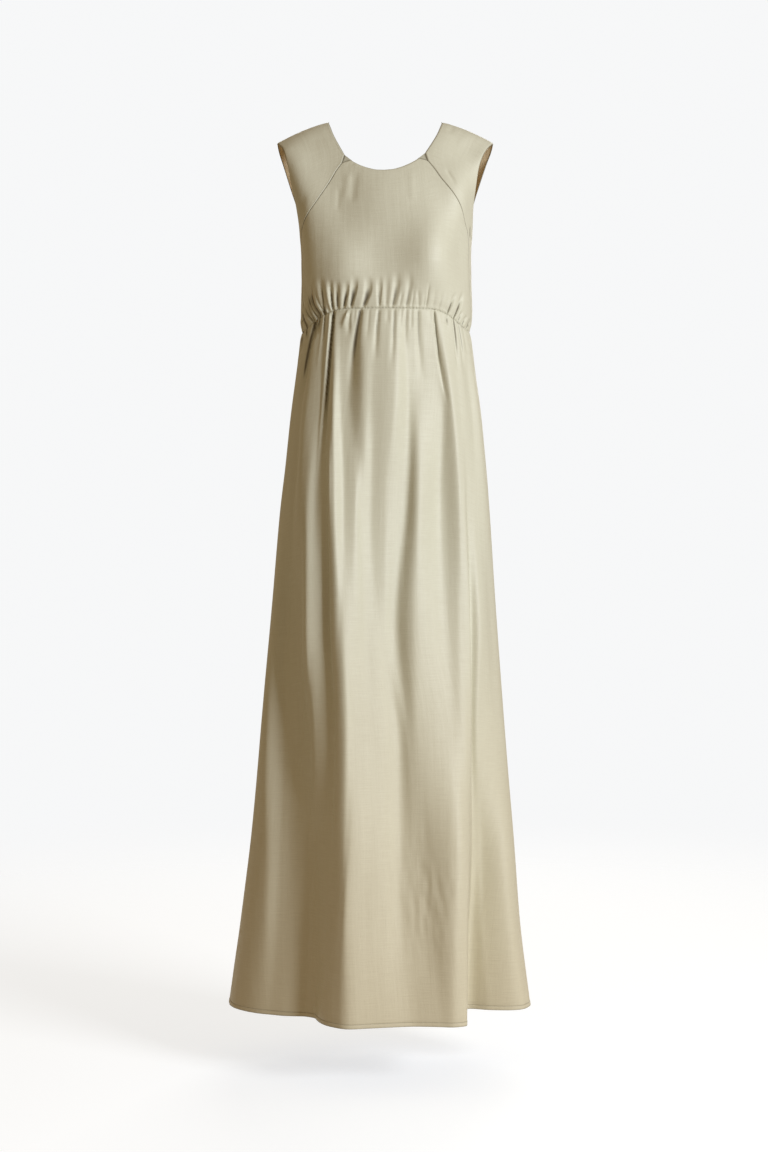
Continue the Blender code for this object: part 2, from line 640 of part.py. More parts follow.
def cloth_material(name, colour):
    material = bpy.data.materials.new(name)
    material.use_nodes = True
    shader = material.node_tree.nodes["Principled BSDF"]
    shader.inputs["Base Color"].default_value = colour
    shader.inputs["Roughness"].default_value = CLOTH_ROUGHNESS
    shader.inputs["Metallic"].default_value = 0.0
    return material


def main():
    for obj in list(bpy.data.objects):
        bpy.data.objects.remove(obj)
    cloth = cloth_material("sage_cloth", CLOTH_COLOUR)
    underlap = cloth_material("underlap_cloth", INNER_COLOUR)
    front_panel(cloth)
    for side in (-1, 1):
        side_panel(side, cloth)
        neck_tab(side, underlap)
    back_panel(cloth)
    skirt_panel("skirt_front", True, cloth)
    skirt_panel("skirt_back", False, cloth)


main()
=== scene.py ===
import math

import bpy
import numpy as np
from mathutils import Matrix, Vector, noise


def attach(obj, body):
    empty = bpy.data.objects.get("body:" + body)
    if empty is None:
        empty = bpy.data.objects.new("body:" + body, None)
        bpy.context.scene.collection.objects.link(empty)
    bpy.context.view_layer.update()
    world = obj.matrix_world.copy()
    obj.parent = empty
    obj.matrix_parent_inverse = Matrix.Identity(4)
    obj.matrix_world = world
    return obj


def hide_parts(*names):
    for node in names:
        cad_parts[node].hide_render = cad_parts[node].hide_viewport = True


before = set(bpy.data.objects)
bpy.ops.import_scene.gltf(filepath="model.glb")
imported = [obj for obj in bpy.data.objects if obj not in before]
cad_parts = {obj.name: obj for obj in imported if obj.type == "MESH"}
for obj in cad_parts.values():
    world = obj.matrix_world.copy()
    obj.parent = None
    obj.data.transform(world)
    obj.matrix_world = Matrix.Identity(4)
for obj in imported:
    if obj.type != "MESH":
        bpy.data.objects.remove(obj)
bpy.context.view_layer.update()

mm = 0.001
rng = np.random.default_rng(41)

# Sizes are in millimetres from the middle of the shoulder line, x to the viewer's right, z up, front at -y.
shape = {
    "hemHeight": -1366.0,
    "seamFront": -302.0,  # the waist seam's height in front, then at the sides and back
    "seamSide": -327.0,
    "seamFall": (30.0, 46.0),  # degrees round from the front where it starts to fall, and over how many
    "neckX": 88.4,
    "neckRound": 12.0,  # rounding of the shoulder line's corner at the neck
    "shoulderRound": 11.0,
    "fallFront": 0.80,  # slopes of the cloth away from the shoulder line
    "fallBack": 0.86,
    "fallSkirt": 0.80,
    "cloth": 0.9,  # wall of the visible cloth
    "sharpAngle": 60.0,  # edges sharper than this are shaded sharp
}

# height, half width, sideways shift, front depth, back depth, roundness of the section (under 1 is squarer)
sections = (
    (0, 208, -1, 64, 60, 0.90),
    (-34, 184.5, -1.2, 68, 66, 0.90),
    (-61, 167.8, -2, 75, 76, 0.88),
    (-99, 152.3, -2.4, 87, 88, 0.86),
    (-138, 139.6, -1.6, 96, 95, 0.84),
    (-176, 133.8, 0, 102, 97, 0.82),
    (-214, 131.4, 0.3, 105, 96, 0.82),
    (-253, 131.4, 0.8, 105, 93, 0.82),
    (-291, 130.4, 0.8, 103, 90, 0.84),
    (-325, 130, -0.4, 103, 88, 0.86),
    (-365, 134, -0.4, 107, 92, 0.88),
    (-445, 146, -0.6, 112, 102, 0.92),
    (-525, 154.4, -0.6, 114, 108, 0.95),
    (-605, 162, -2, 115, 112, 0.97),
    (-765, 174.6, -3.2, 117, 118, 1),
    (-925, 187.5, -4.4, 118, 122, 1),
    (-1085, 201, -5.2, 119, 126, 1),
    (-1245, 217, -9, 120, 130, 1),
    (-1366, 233, -9.5, 120, 133, 1),
)

# distance from the middle, height
cutLines = {
    "shoulder": (
        (88.4, 0), (109, -6.4), (132.5, -16), (150, -24.2), (168, -33.6), (215, -66),
    ),
    "seam": (
        (127.2, -327), (127.2, -201), (125.9, -180.2), (120.5, -165.6), (109.6, -142.9),
        (97.5, -120.4), (84.7, -100), (75.8, -85.3), (65.5, -71.7),
    ),
    "sideNeck": ((65.5, -71.7), (61.5, -58.5), (70.2, -42.3), (80.4, -21.8), (88.4, 0)),
    "frontNeck": ((0, -87.9), (12, -86.9), (24, -83.5), (36, -78.2), (48, -70.4), (60, -59.6)),
    "notchTop": ((0, -57), (51, -68.4), (65.5, -71.7)),
    "backNeck": ((0, -118), (30, -112), (55, -92), (72, -60), (82, -28), (88.4, 0)),
}

# height, angle round the figure
armholes = {
    "front": (
        (-33.6, 65.6), (-46, 63.4), (-67, 65.2), (-87, 67.4), (-106, 70.6),
        (-123, 74.3), (-140, 78), (-157, 81.6), (-173, 85.4), (-187, 90),
    ),
    "back": (
        (-33.6, 65.6), (-41, 68.2), (-53, 71.2), (-70, 73.8), (-89, 75.4), (-108, 76.2),
        (-127, 77.2), (-147, 79.4), (-167, 83.2), (-180, 86.8), (-187, 90),
    ),
}

# the outer edge of the side fronts and the back: share of the way up, height
outerEdge = ((0.0, -327.0), (0.46, -187.0), (0.74, -122.0), (1.0, -33.6))
underarmShare = outerEdge[1][0]

bust = {"x": 74.0, "height": -226.0, "out": 19.0, "wide": 46.0, "above": 74.0, "below": 46.0}


def curveThrough(places, values):
    # a smooth line through a table that never swings past its rows; reads whole arrays
    order = np.argsort(places)
    at, value = (np.asarray(row, float)[order] for row in (places, values))
    step = np.diff(at)
    rise = np.diff(value) / step
    slope = np.zeros(len(at))
    slope[0], slope[-1] = rise[0], rise[-1]
    for k in range(1, len(step)):
        if rise[k - 1] * rise[k] > 0:
            a = 2 * step[k] + step[k - 1]
            b = step[k] + 2 * step[k - 1]
            slope[k] = (a + b) / (a / rise[k - 1] + b / rise[k])

    def read(place):
        place = np.asarray(place, float)
        k = np.clip(np.searchsorted(at, place, side="right") - 1, 0, len(step) - 1)
        t = np.clip((place - at[k]) / step[k], 0.0, 1.0)
        gap = value[k + 1] - value[k]
        bend = (1 - t) * (slope[k] * step[k] - gap) - t * (slope[k + 1] * step[k] - gap)
        under = np.minimum(place - at[0], 0.0) * slope[0]
        over = np.maximum(place - at[-1], 0.0) * slope[-1]
        return value[k] + t * gap + t * (1 - t) * bend + under + over

    return read


def tableCurve(rows, fromColumn, toColumn):
    return curveThrough([row[fromColumn] for row in rows], [row[toColumn] for row in rows])


def ease(share):
    share = np.clip(share, 0.0, 1.0)
    return share * share * (3 - 2 * share)


def grown(distance, ramp):
    # 0 up to the ramp's start, then growing to 1 over its length
    start, over = ramp
    return ease((distance - start) / over)


def hill(distance, wide):
    return np.exp(-((distance / wide) ** 2))


def smaller(a, b):
    # the smaller of two lengths, with a round change from one to the other
    return a / (1 + (a / b) ** 4) ** 0.25


sectionCurves = (tableCurve(sections, 0, column) for column in range(1, 6))
halfWidth, sideShift, frontDepth, backDepth, sectionPower = sectionCurves
topLines = (cutLines[line] for line in ("shoulder", "frontNeck", "notchTop", "backNeck"))
shoulderHeight, neckArc, notchTop, backNeck = (tableCurve(line, 0, 1) for line in topLines)
sideEdges = (armholes["front"], armholes["back"], outerEdge)
armholeFront, armholeBack, outerHeight = (tableCurve(edge, 0, 1) for edge in sideEdges)
seamX = tableCurve(cutLines["seam"], 1, 0)


def ridge(x):
    # the shoulder line, with its corner at the neck rounded off
    reaches = [np.abs(x) + shift for shift in shape["neckRound"] * np.linspace(-1.0, 1.0, 5)]
    heights = [np.where(reach > shape["neckX"], shoulderHeight(reach), 0.0) for reach in reaches]
    return sum(heights) / len(heights)


def frontNeck(x):
    return np.minimum(neckArc(x), notchTop(x))


def waist(angle):
    # height of the waist seam
    fall = grown(np.abs(angle), shape["seamFall"])
    return shape["seamFront"] + (shape["seamSide"] - shape["seamFront"]) * fall


def sectionDepth(angle, height, x):
    turn = np.cos(np.radians(angle))
    inFront = turn >= 0
    depth = np.where(inFront, frontDepth(height), backDepth(height))
    depth = depth * np.maximum(np.abs(turn), 1e-9) ** sectionPower(height)
    tall = np.where(height > bust["height"], bust["above"], bust["below"])
    lift = hill(height - bust["height"], tall) * inFront * np.abs(turn)
    for side in (-1, 1):
        depth = depth + bust["out"] * lift * hill(x - side * bust["x"], bust["wide"])
    return depth, np.where(inFront, -1.0, 1.0)


def figurePoints(angle, drop):
    # drop squared is the fall below the shoulder line, so that the cloth runs smoothly over the shoulder
    angle, drop = np.broadcast_arrays(np.asarray(angle, float), np.asarray(drop, float))
    fall = drop * drop
    height = -fall
    for _ in range(9):
        x = halfWidth(height) * np.sin(np.radians(angle))
        height = ridge(x) - fall
    depth, sign = sectionDepth(angle, height, x)
    slope = np.where(sign < 0, shape["fallFront"], shape["fallBack"])
    roof = drop * np.sqrt(2 * shape["shoulderRound"] + (slope * drop) ** 2)
    y = sign * smaller(roof, depth)
    return np.stack((x + sideShift(height), y, height), axis=-1)


def placeOf(x, height):
    angle = np.degrees(np.arcsin(np.minimum(1.0, x / halfWidth(height))))
    return angle, np.sqrt(np.maximum(0.0, ridge(x) - height))


def dropAt(angle, height):
    x = halfWidth(height) * np.sin(np.radians(angle))
    return np.sqrt(np.maximum(0.0, ridge(x) - height))


seamAngle = float(placeOf(seamX(shape["seamSide"]), shape["seamSide"])[0])


# the oval near the waist seam, for what goes round it
waistOval = {"halfWidth": 131.0, "front": 103.0, "back": 90.0, "radius": 116.0}


def outwards(points):
    # level direction straight out of the oval
    depth = np.where(points[..., 1] > 0, waistOval["back"], waistOval["front"])
    x, y = points[..., 0] / waistOval["halfWidth"] ** 2, points[..., 1] / depth**2
    way = np.stack((x, y, 0 * x), axis=-1)
    return way / np.linalg.norm(way, axis=-1, keepdims=True)


def gridNormals(points):
    alongV = np.gradient(points, axis=0)
    alongU = np.gradient(points, axis=1)
    normal = np.cross(alongU, alongV)
    return normal / np.maximum(np.linalg.norm(normal, axis=-1, keepdims=True), 1e-12)


def outwardNormals(points):
    normal = gridNormals(points)
    side = np.sign((normal * outwards(points)).sum(axis=-1, keepdims=True))
    return normal * np.where(side == 0, 1.0, side)


# the camera stands straight in front, in metres
view = {"distance": 3.0, "x": -0.0031, "z": -0.7037, "seenHeight": 1.7856}

# Gathers. In front, each runs from the seam to its far end: x and z of both ends as the front view shows
# them, how far its middle bends sideways, half width, and depth, which is under 0 for a ridge. At the sides
# and back, each has its place round the waist in degrees, half width, depth, length and lean.
gathers = {
    "frontBodice": (
        (-123, -315, -132, -277, -2, 2.5, 5),
        (-114, -308, -127, -276, -2, 2, 4.2),
        (-111, -307, -122, -262, -2, 2, 3.5),
        (-107, -302, -120, -252, -3, 2.2, 4.6),
        (-105, -298, -117, -248, -3, 1.6, 3),
        (-102, -298, -110, -243, -5, 2.4, 4.6),
        (-97, -293, -106, -258, -2, 1.5, 2.5),
        (-95, -290, -99, -243, -1, 3, 4.8),
        (-92, -292, -103, -250, -2, 2, -2),
        (-83, -289, -86, -246, 0, 2.5, 4.5),
        (-85, -290, -91, -248, 0, 2, -2),
        (-75, -288, -76, -247, 0, 3, 3.5),
        (-66, -288, -61, -248, 1, 2.8, 4),
        (-55, -287, -48, -240, 1, 3.2, 4),
        (-36, -287, -27, -240, 3, 3.8, 4),
        (-11, -288, -10, -240, 0, 2.5, 2.5),
        (0, -287, 2, -235, 0, 3.5, 1.5),
        (10, -286, 17, -232, 2, 4, 3),
        (21, -286, 25, -262, 0, 2, 1),
        (31, -286, 37, -234, 2, 4, 2.5),
        (40, -286, 44, -252, 0, 2, 1),
        (51, -287, 49, -258, 0, 2.5, 1.5),
        (58, -287, 60, -265, 0, 1.5, 1),
        (62, -288, 66, -248, 0, 1.8, 2),
        (72, -288, 76, -255, 0, 2.5, 1),
        (81, -290, 86, -262, 0, 2, 1.5),
        (90, -292, 95, -272, 0, 1.8, 1),
        (95, -297, 106, -266, 0, 1.8, 4.2),
        (105, -303, 119, -264, 1, 2, 4.5),
        (111, -310, 117, -293, 0, 1.4, 3),
        (117, -316, 124, -300, 0, 1.5, 3.5),
        (123, -321, 129, -305, 1, 1.8, 3.5),
    ),
    "frontSkirt": (
        (-129, -322, -134, -362, 0, 2, 5),
        (-123, -320, -123, -338, 0, 1.5, 5),
        (-110, -310, -132, -430, -2, 2.5, 8),
        (-108, -308, -112, -336, 0, 1.6, 4.5),
        (-102, -302, -107, -328, 0, 1.8, 4.5),
        (-96, -305, -107, -385, 0, 2.2, -0.8),
        (-95, -300, -98, -345, 0, 1.5, 3.5),
        (-86, -294, -84, -312, 0, 1.5, 1.5),
        (-82, -300, -98, -520, -1, 2.4, 8),
        (-91, -350, -108, -560, 0, 2.2, -1.6),
        (-58, -293, -68, -320, 0, 3, -3),
        (-57, -300, -59, -332, 0, 2.5, 1.8),
        (-48, -291, -51, -316, 0, 2, 1),
        (-41, -298, -54, -415, -2, 5, 4),
        (-26, -291, -30, -338, 0, 2.5, 1),
        (-11, -291, -17, -370, -1, 3.2, 2.5),
        (3, -291, 2, -313, 0, 2, 1.3),
        (13, -290, 8, -380, 1, 2.8, 2.5),
        (24, -291, 22, -330, 0, 2, 0.8),
        (32, -290, 28, -352, 0, 3, 1.8),
        (40, -290, 39, -325, 0, 2, 1),
        (50, -291, 57, -405, -2, 4, 2.2),
        (68, -290, 69, -310, 0, 2.2, 1),
        (75, -291, 97, -440, -3, 2.2, 3.5),
        (86, -292, 90, -316, 0, 1.8, 0.8),
        (94, -300, 95, -320, 0, 1.4, 3),
        (104, -302, 112, -388, 1, 2.2, 3.5),
        (113, -318, 122, -388, 1, 2, 2.5),
        (120, -322, 128, -362, 0, 1.8, 1.2),
    ),
    "sideBodice": (
        (-88, 3, 1.8, 30, -0.10),
        (-82, 2.4, 1.4, 24, -0.12),
        (79, 2.2, 1.2, 22, 0.20),
        (84, 2.6, 1.4, 26, 0.10),
    ),
    "sideSkirt": (
        (-86, 3, 2.4, 120, -0.05),
        (-80, 2.6, 2, 80, -0.05),
        (78, 2.4, 1.2, 50, 0.04),
        (84, 2.6, 1.6, 80, 0.04),
    ),
    # over the back: degrees round, how many, and the ranges of what is drawn for each
    "backEnds": (92.0, 268.0),
    "backCount": 30,
    "backPlace": (0.25, 0.75),
    "backWide": (2.2, 3.4),
    "backDeep": (1.2, 2.8),
    "longBodice": (20.0, 48.0),
    "longSkirt": (40.0, 144.0),
    # how hollows start at the seam, widen and fade, at the sides and back and then in front
    "seamShare": 0.45,
    "seamLong": 9.0,
    "widening": 0.5,
    "fadeReach": 1.25,
    "frontShare": (0.25, 0.45),  # in the middle, and what the sides add
    "frontSides": (70.0, 30.0),  # mm from the middle where the sides begin, and over how many
    "frontLong": 7.0,
    "frontWidth": (0.75, 0.6),
    "frontReach": 1.12,
    "frontFade": 0.6,
    "sideSeamFade": 8.0,  # degrees
    "puffBodice": (2.6, 16.0, (22.0, 60.0)),  # height, rise over, fall from and over
    "puffSkirt": (2.0, 12.0, (30.0, 90.0)),
    "puckerEvery": 2.3,  # degrees
    "puckerDeep": 0.38,
    "puckerLong": 5.0,
    "seamDip": 1.2,
    "seamDipLong": 2.2,
}


def backHollows(part):
    # hollows spread over the back, unevenly
    rows = []
    edges = np.linspace(*gathers["backEnds"], gathers["backCount"] + 1)
    for start, end in zip(edges[:-1], edges[1:]):
        place = start + (end - start) * rng.uniform(*gathers["backPlace"])
        wide = rng.uniform(*gathers["backWide"])
        deep = rng.uniform(*gathers["backDeep"])
        rows.append((place, wide, deep, rng.uniform(*gathers["long" + part]), 0.0))
    return tuple(rows)


gathers["backBodice"] = backHollows("Bodice")
gathers["backSkirt"] = backHollows("Skirt")


def hollowDepth(angle, away, rows):
    # how far the side and back gathers pull the cloth in, at a distance away from the waist seam
    depth = np.zeros_like(angle)
    share = gathers["seamShare"]
    for place, wide, deep, long, lean in rows:
        nearest = (angle - place + 180.0) % 360.0 - 180.0
        across = np.radians(nearest) * waistOval["radius"] - lean * away
        widen = wide * (1 + gathers["widening"] * away / long)
        start = share + (1 - share) * ease(away / gathers["seamLong"])
        fade = start * (1 - ease(away / (long * gathers["fadeReach"])))
        depth += deep * fade * hill(across, widen)
    return depth


def puckers(angle, away):
    # uneven in height, length and place, each by a slow sine of its own
    turn = angle / gathers["puckerEvery"]
    uneven = 0.7 + 0.5 * np.sin(angle * 0.61) * np.sin(angle * 0.23 + 1.0)
    fade = 1 - ease(away / (gathers["puckerLong"] * (1 + 0.4 * np.sin(angle * 1.7))))
    return gathers["puckerDeep"] * uneven * np.cos(2 * np.pi * (turn + 0.18 * np.sin(angle * 0.9))) * fade


def seamPull(angle, away, part):
    # what the elastic seam does all round: gathers, tiny puckers and the dip at the stitching
    pull = hollowDepth(angle, away, gathers["side" + part] + gathers["back" + part]) - puckers(angle, away)
    return pull + gathers["seamDip"] * (1 - ease(away / gathers["seamDipLong"]))


def puffOut(away, part):
    # the cloth stands out a little beside the elastic seam
    high, rise, fall = gathers["puff" + part]
    return high * ease(away / rise) * (1 - grown(away, fall))


def seenPlace(points):
    # where a point shows in the front view, on the upright plane through the side seams
    scale = view["distance"] / (view["distance"] + points[..., 1] * mm)
    x = view["x"] / mm + (points[..., 0] - view["x"] / mm) * scale
    return x, view["z"] / mm + (points[..., 2] - view["z"] / mm) * scale


def alongLine(x, z, x0, z0, x1, z1):
    # share of the way along a line, and distance beside it
    length = math.hypot(x1 - x0, z1 - z0)
    ux, uz = (x1 - x0) / length, (z1 - z0) / length
    return ((x - x0) * ux + (z - z0) * uz) / length, (x - x0) * uz - (z - z0) * ux


def frontPull(points, angles, away, part, narrow=1.0, reach=gathers["frontReach"]):
    # the drawn gathers of the front, shallow at the stitching and gone at the side seams
    x, z = seenPlace(points)
    depth = np.zeros_like(x)
    atSeam, growth = gathers["frontWidth"]
    for x0, z0, x1, z1, bend, wide, deep in gathers["front" + part]:
        along, beside = alongLine(x, z, x0, z0, x1, z1)
        inside = np.clip(along, 0, 1)
        across = np.sign(z1 - z0) * beside - 4 * bend * inside * (1 - inside)
        spread = narrow * wide * (atSeam + growth * inside)
        depth += deep * hill(across, spread) * ease((reach - along) / gathers["frontFade"])
    share, more = gathers["frontShare"]
    start = share + more * grown(np.abs(points[..., 0]), gathers["frontSides"])
    fade = start + (1 - start) * ease(away / gathers["frontLong"])
    return depth * (points[..., 1] < 0) * fade * ease((90.0 - np.abs(angles)) / gathers["sideSeamFade"])


# Soft creases of the bodice: x and z of both ends, half width and how far out. They fade at both ends.
creases = {
    "slits": (
        (-127, -168, -127, -190, 0.8, -1),
        (129.2, -168, 129.4, -186, 0.8, -1),
    ),
    "bodice": (
        (-62, -76.8, -48, -76, 1.2, -0.6),
        (-46, -88, -53, -138, 6, -1),
        (-58, -88, -63, -130, 5, 0.8),
        (-74, -112, -77, -150, 4, -0.7),
        (38, -92, 40, -140, 6, 0.6),
        (91, -86, 103, -112, 3.2, -1.3),
        (-124, -120, -127, -172, 5, -1),
        (104, -6, 98, -22, 5, -0.8),
        (133, -20, 112, -40, 9, 0.8),
    ),
    "endFade": (0.35, 0.25),  # share of its length over which a crease fades, and what it starts with
    "frontEdge": (10.0, 20.0),  # y where the front ends, and the mm over which creases fade there
}


# Soft swells and hollows of the bodice's front: x, z, width, length and how far out.
bodiceSwells = {
    "rightShoulder": (120, -55, 35, 35, -8),
    "rightArmhole": (110, -130, 25, 50, 12),
    "rightSide": (125, -180, 40, 80, -6),
    "rightBust": (75, -210, 30, 55, 9),
    "middle": (-20, -230, 45, 55, -5),
    "leftChest": (-70, -155, 45, 80, -12),
    "leftShoulder": (-105, -85, 40, 70, -9),
    "leftArmhole": (-150, -165, 60, 110, 16),
    "leftSide": (-130, -230, 35, 60, 4),
}
swellFade = {"angle": 81.0, "degrees": 30.0, "belowShoulder": 30.0}


def bodiceSwell(points, angles):
    x, z = points[..., 0], points[..., 2]
    swell = np.zeros_like(x)
    for atX, atZ, wide, tall, out in bodiceSwells.values():
        swell += out * hill(x - atX, wide) * hill(z - atZ, tall)
    swell = swell * ease((swellFade["angle"] - np.abs(angles)) / swellFade["degrees"])
    return swell * ease((ridge(x) - z) / swellFade["belowShoulder"])


def creaseHeight(points, kind):
    x, z = points[..., 0], points[..., 2]
    over, first = creases["endFade"]
    edge, edgeOver = creases["frontEdge"]
    total = np.zeros_like(x)
    for x0, z0, x1, z1, wide, out in creases[kind]:
        along, across = alongLine(x, z, x0, z0, x1, z1)
        fade = ease(along / over + first) * ease((1 - along) / over + first)
        total += out * hill(across, wide) * fade
    return total * ease((edge - points[..., 1]) / edgeOver)


# Painted shade: little light gets to the bottom of a deep gather or into a seam's ditch, so the cloth is
# painted darker there.
# The same painted shade goes into slits, along turned edges and along the hem's stitches and fold.
paintedShadeLook = {
    "gatherFrom": 0.9,  # mm deep where a gather starts to darken
    "gatherRange": 3.0,
    "gatherDark": 0.9,
    "gatherNarrow": 0.7,  # the dark line against the hollow's width
    "gatherReach": 0.9,
    "slitDark": 0.6,
    "seamDark": 0.75,
    "seamWide": 1.1,
    "waistDark": 0.4,
    "waistWide": 0.8,
    "edgeDark": 0.45,
    "edgeWide": 0.9,
    "stitchDark": 0.225,
    "stitchWide": 0.9,
    "hemDark": 0.675,
    "hemWide": 0.9,
    "darkest": 0.9,
}


def gatherPaintedShade(points, angles, away, part):
    # painted shade at the bottom of the deeper gathers
    deep = frontPull(points, angles, away, part, paintedShadeLook["gatherNarrow"], paintedShadeLook["gatherReach"])
    return paintedShadeLook["gatherDark"] * ease((deep - paintedShadeLook["gatherFrom"]) / paintedShadeLook["gatherRange"])


def linePaintedShade(distance, kind):
    # painted shade along a line, fading to either side
    return paintedShadeLook[kind + "Dark"] * hill(distance, paintedShadeLook[kind + "Wide"])


def waistPaintedShade(angle, away):
    # painted shade along the waist seam, dotted, as the elastic pulls the cloth down between its stitches
    return linePaintedShade(away, "waist") * (0.5 + 0.5 * np.cos(2 * np.pi * angle / gathers["puckerEvery"]))


def deepest(*ditches):
    # the darkest of the painted shades at each point, kept under the darkest allowed
    return np.clip(np.maximum.reduce(ditches), 0.0, paintedShadeLook["darkest"])


# Slow unevenness of hanging cloth: height, size of a lump, how much longer it is down, place in the noise
unevenness = {
    "frontBodice": (0.3, 26.0, 1.6, 3.0),
    "backBodice": (0.8, 34.0, 1.8, 11.0),
    "frontSkirt": (0.9, 30.0, 4.0, 20.0),
    "backSkirt": (0.9, 30.0, 4.0, 31.0),
    "crumple": (2.2, 9.0, 1.3, 5.0),
}


def softNoise(points, kind):
    high, size, stretch, start = unevenness[kind]
    flat = points.reshape(-1, 3)
    out = np.empty(len(flat))
    for k, (x, y, z) in enumerate(flat):
        out[k] = noise.noise(Vector((x / size + start, y / size, z / (size * stretch))))
    return high * out.reshape(points.shape[:-1])


# Fold lines of the skirt. Each has its column. In front come its place in mm from the middle, and how far
# it stands out, at the heights of frontLevels. At the back, its place is a share of the way to the side
# seams, at the shares of the way down that backStations gives.
skirtFolds = {
    "frontLevels": (-315, -430, -590, -780, -960, -1150, -1366),
    "backStations": (0, 0.114, 0.261, 0.4075, 0.554, 0.774, 1),
    "frontColumns": 48,
    "backColumns": 36,
    "front": {
        "sideRidge": (4, (-121, -138, -155, -170, -181, -182, -194), (0, -2, -3, 3, 4, 2, -4)),
        "sideHollow": (6.5, (-115, -130, -142, -157, -163, -164, -174), (0, -2, -2, -12, -14, -9, -7)),
        "leftSlope": (8.5, (-108, -118, -122, -126, -140, -148, -156), (0, 3, 13, 2, -17, -14, -8)),
        "thinRidge": (10, (-102, -105, -109, -110, -113, -130, -140), (0, 0, 17, 24, 3, -15, -12)),
        "ridgeFoot": (11.5, (-97, -98, -97, -98, -103, -112, -126), (0, -2, 11, 20, 14, -11, -15)),
        "slitFloor": (13, (-92, -90, -84, -81, -76, -84, -108), (0, 0, 13, 12, 20, 20, -8)),
        "slitWall": (14.5, (-84, -84, -78, -75, -71, -79, -101), (0, 1, 22, 26, 24, 25, 6)),
        "frontEdge": (16, (-76, -77, -71, -65, -67, -74, -91), (0, 5, 22, 33, 33, 30, 24)),
        "edgeRun": (17.5, (-68, -69, -61, -57, -53, -58, -75), (0, -1, 8, 33, 42, 45, 42)),
        "leftDent": (19, (-51, -56, -46, -43, -44, -50, -52), (0, -3, 8, 23, 36, 48, 55)),
        "leftSwell": (21, (-33, -32, -36, -29, -22, -22, -24), (0, 7, 0, 9, 22, 36, 48)),
        "middleDent": (23, (-14, -17, -21, -17, -6, -4, 2), (0, 5, -9, 3, 14, 28, 42)),
        "middleSwell": (25, (14, 14, -1, -3, 20, 21, 32), (0, 8, -8, -3, 2, 17, 38)),
        "longValley": (27, (30, 35, 33, 15, 33, 42, 56), (0, -9, -18, -11, 8, 21, 42)),
        "rightSwell": (29, (50, 52, 51, 44, 46, 56, 72), (0, -9, -5, 5, 13, 27, 47)),
        "rightDent": (31, (72, 86, 89, 87, 92, 90, 89), (0, -5, -19, -3, 19, 50, 53)),
        "foldEdge": (33, (81, 96, 110, 108, 108, 107, 104), (0, 5, 2, 7, 20, 39, 50)),
        "rightStep": (35, (98, 110, 117, 121, 122, 123, 117), (0, 0, 2, 9, 12, 7, 0)),
        "foldFoot": (37, (103, 117, 124, 127, 130, 146, 146), (0, 0, -2, 1, -6, -29, -56)),
        "rightFlat": (41, (117, 130, 135, 137, 140, 160, 178), (0, -3, -1, 9, 0, -24, -30)),
        "rightSwellLow": (44.5, (124, 137, 151, 164, 172, 183, 212), (0, 2, 2, -3, -2, 3, 0)),
    },
    "back": {
        "swellA": (5, (-0.86, -0.86, -0.87, -0.86, -0.84, -0.82, -0.80), (0, 4, 8, 10, 12, 14, 16)),
        "valleyA": (8, (-0.68, -0.70, -0.71, -0.70, -0.68, -0.66, -0.64), (0, -6, -10, -10, -9, -8, -8)),
        "swellB": (12, (-0.45, -0.46, -0.44, -0.43, -0.45, -0.44, -0.42), (0, 6, 11, 16, 20, 25, 30)),
        "valleyB": (16, (-0.18, -0.17, -0.20, -0.22, -0.20, -0.18, -0.18), (0, -3, -5, -6, -6, -4, 0)),
        "swellC": (20, (0.10, 0.08, 0.05, 0.04, 0.06, 0.08, 0.08), (0, 5, 12, 18, 24, 30, 36)),
        "valleyC": (24, (0.36, 0.34, 0.31, 0.30, 0.31, 0.33, 0.33), (0, -4, -6, -6, -5, -4, -2)),
        "swellD": (28, (0.62, 0.60, 0.58, 0.56, 0.56, 0.57, 0.57), (0, 6, 10, 14, 18, 22, 26)),
        "valleyD": (32, (0.84, 0.83, 0.82, 0.80, 0.79, 0.78, 0.78), (0, -2, -5, -7, -7, -6, -6)),
    },
}


def foldRows(side):
    # stations from waist seam to hem, and each line's column, shares across and distances out
    levels = np.array(skirtFolds["frontLevels"])
    stations = skirtFolds["backStations"]
    if side == "front":
        stations = (levels[0] - levels) / (levels[0] - levels[-1])
    edge = np.ones(len(levels))
    rows = [(0, -edge, 0 * edge), (skirtFolds[side + "Columns"], edge, 0 * edge)]
    for lane, places, outs in skirtFolds[side].values():
        if side == "front":
            places = (np.array(places) - sideShift(levels)) / halfWidth(levels)
        rows.append((lane, places, outs))
    return stations, rows


def skirtPoints(side, columns, shares):
    isFront = side == "front"
    stations, folds = foldRows(side)
    lanes = [row[0] for row in folds]
    turnsDown = [curveThrough(stations, np.degrees(np.arcsin(row[1])))(shares) for row in folds]
    outsDown = [curveThrough(stations, row[2])(shares) for row in folds]
    rows, turns = [], []
    for k, share in enumerate(shares):
        turn = curveThrough(lanes, [line[k] for line in turnsDown])(columns)
        out = curveThrough(lanes, [line[k] for line in outsDown])(columns)
        angle = turn if isFront else 180.0 - turn
        top = waist(turn) if isFront else np.full_like(turn, shape["seamSide"])
        height = top + (shape["hemHeight"] - top) * share
        across, ahead = np.sin(np.radians(angle)), -np.cos(np.radians(angle))
        x = halfWidth(height) * across
        depth, sign = sectionDepth(angle, height, x)
        depth = smaller(depth, shape["fallSkirt"] * -height)
        point = np.stack((x + sideShift(height), sign * depth, height), axis=-1)
        baseDepth = frontDepth(height) if isFront else backDepth(height)
        way = np.stack((across / halfWidth(height), ahead / baseDepth, 0 * angle), axis=-1)
        way = way / np.linalg.norm(way, axis=-1, keepdims=True)
        rows.append(point + (out + puffOut(top - height, "Skirt"))[:, None] * way)
        turns.append(angle)
    return np.array(rows), np.array(turns)


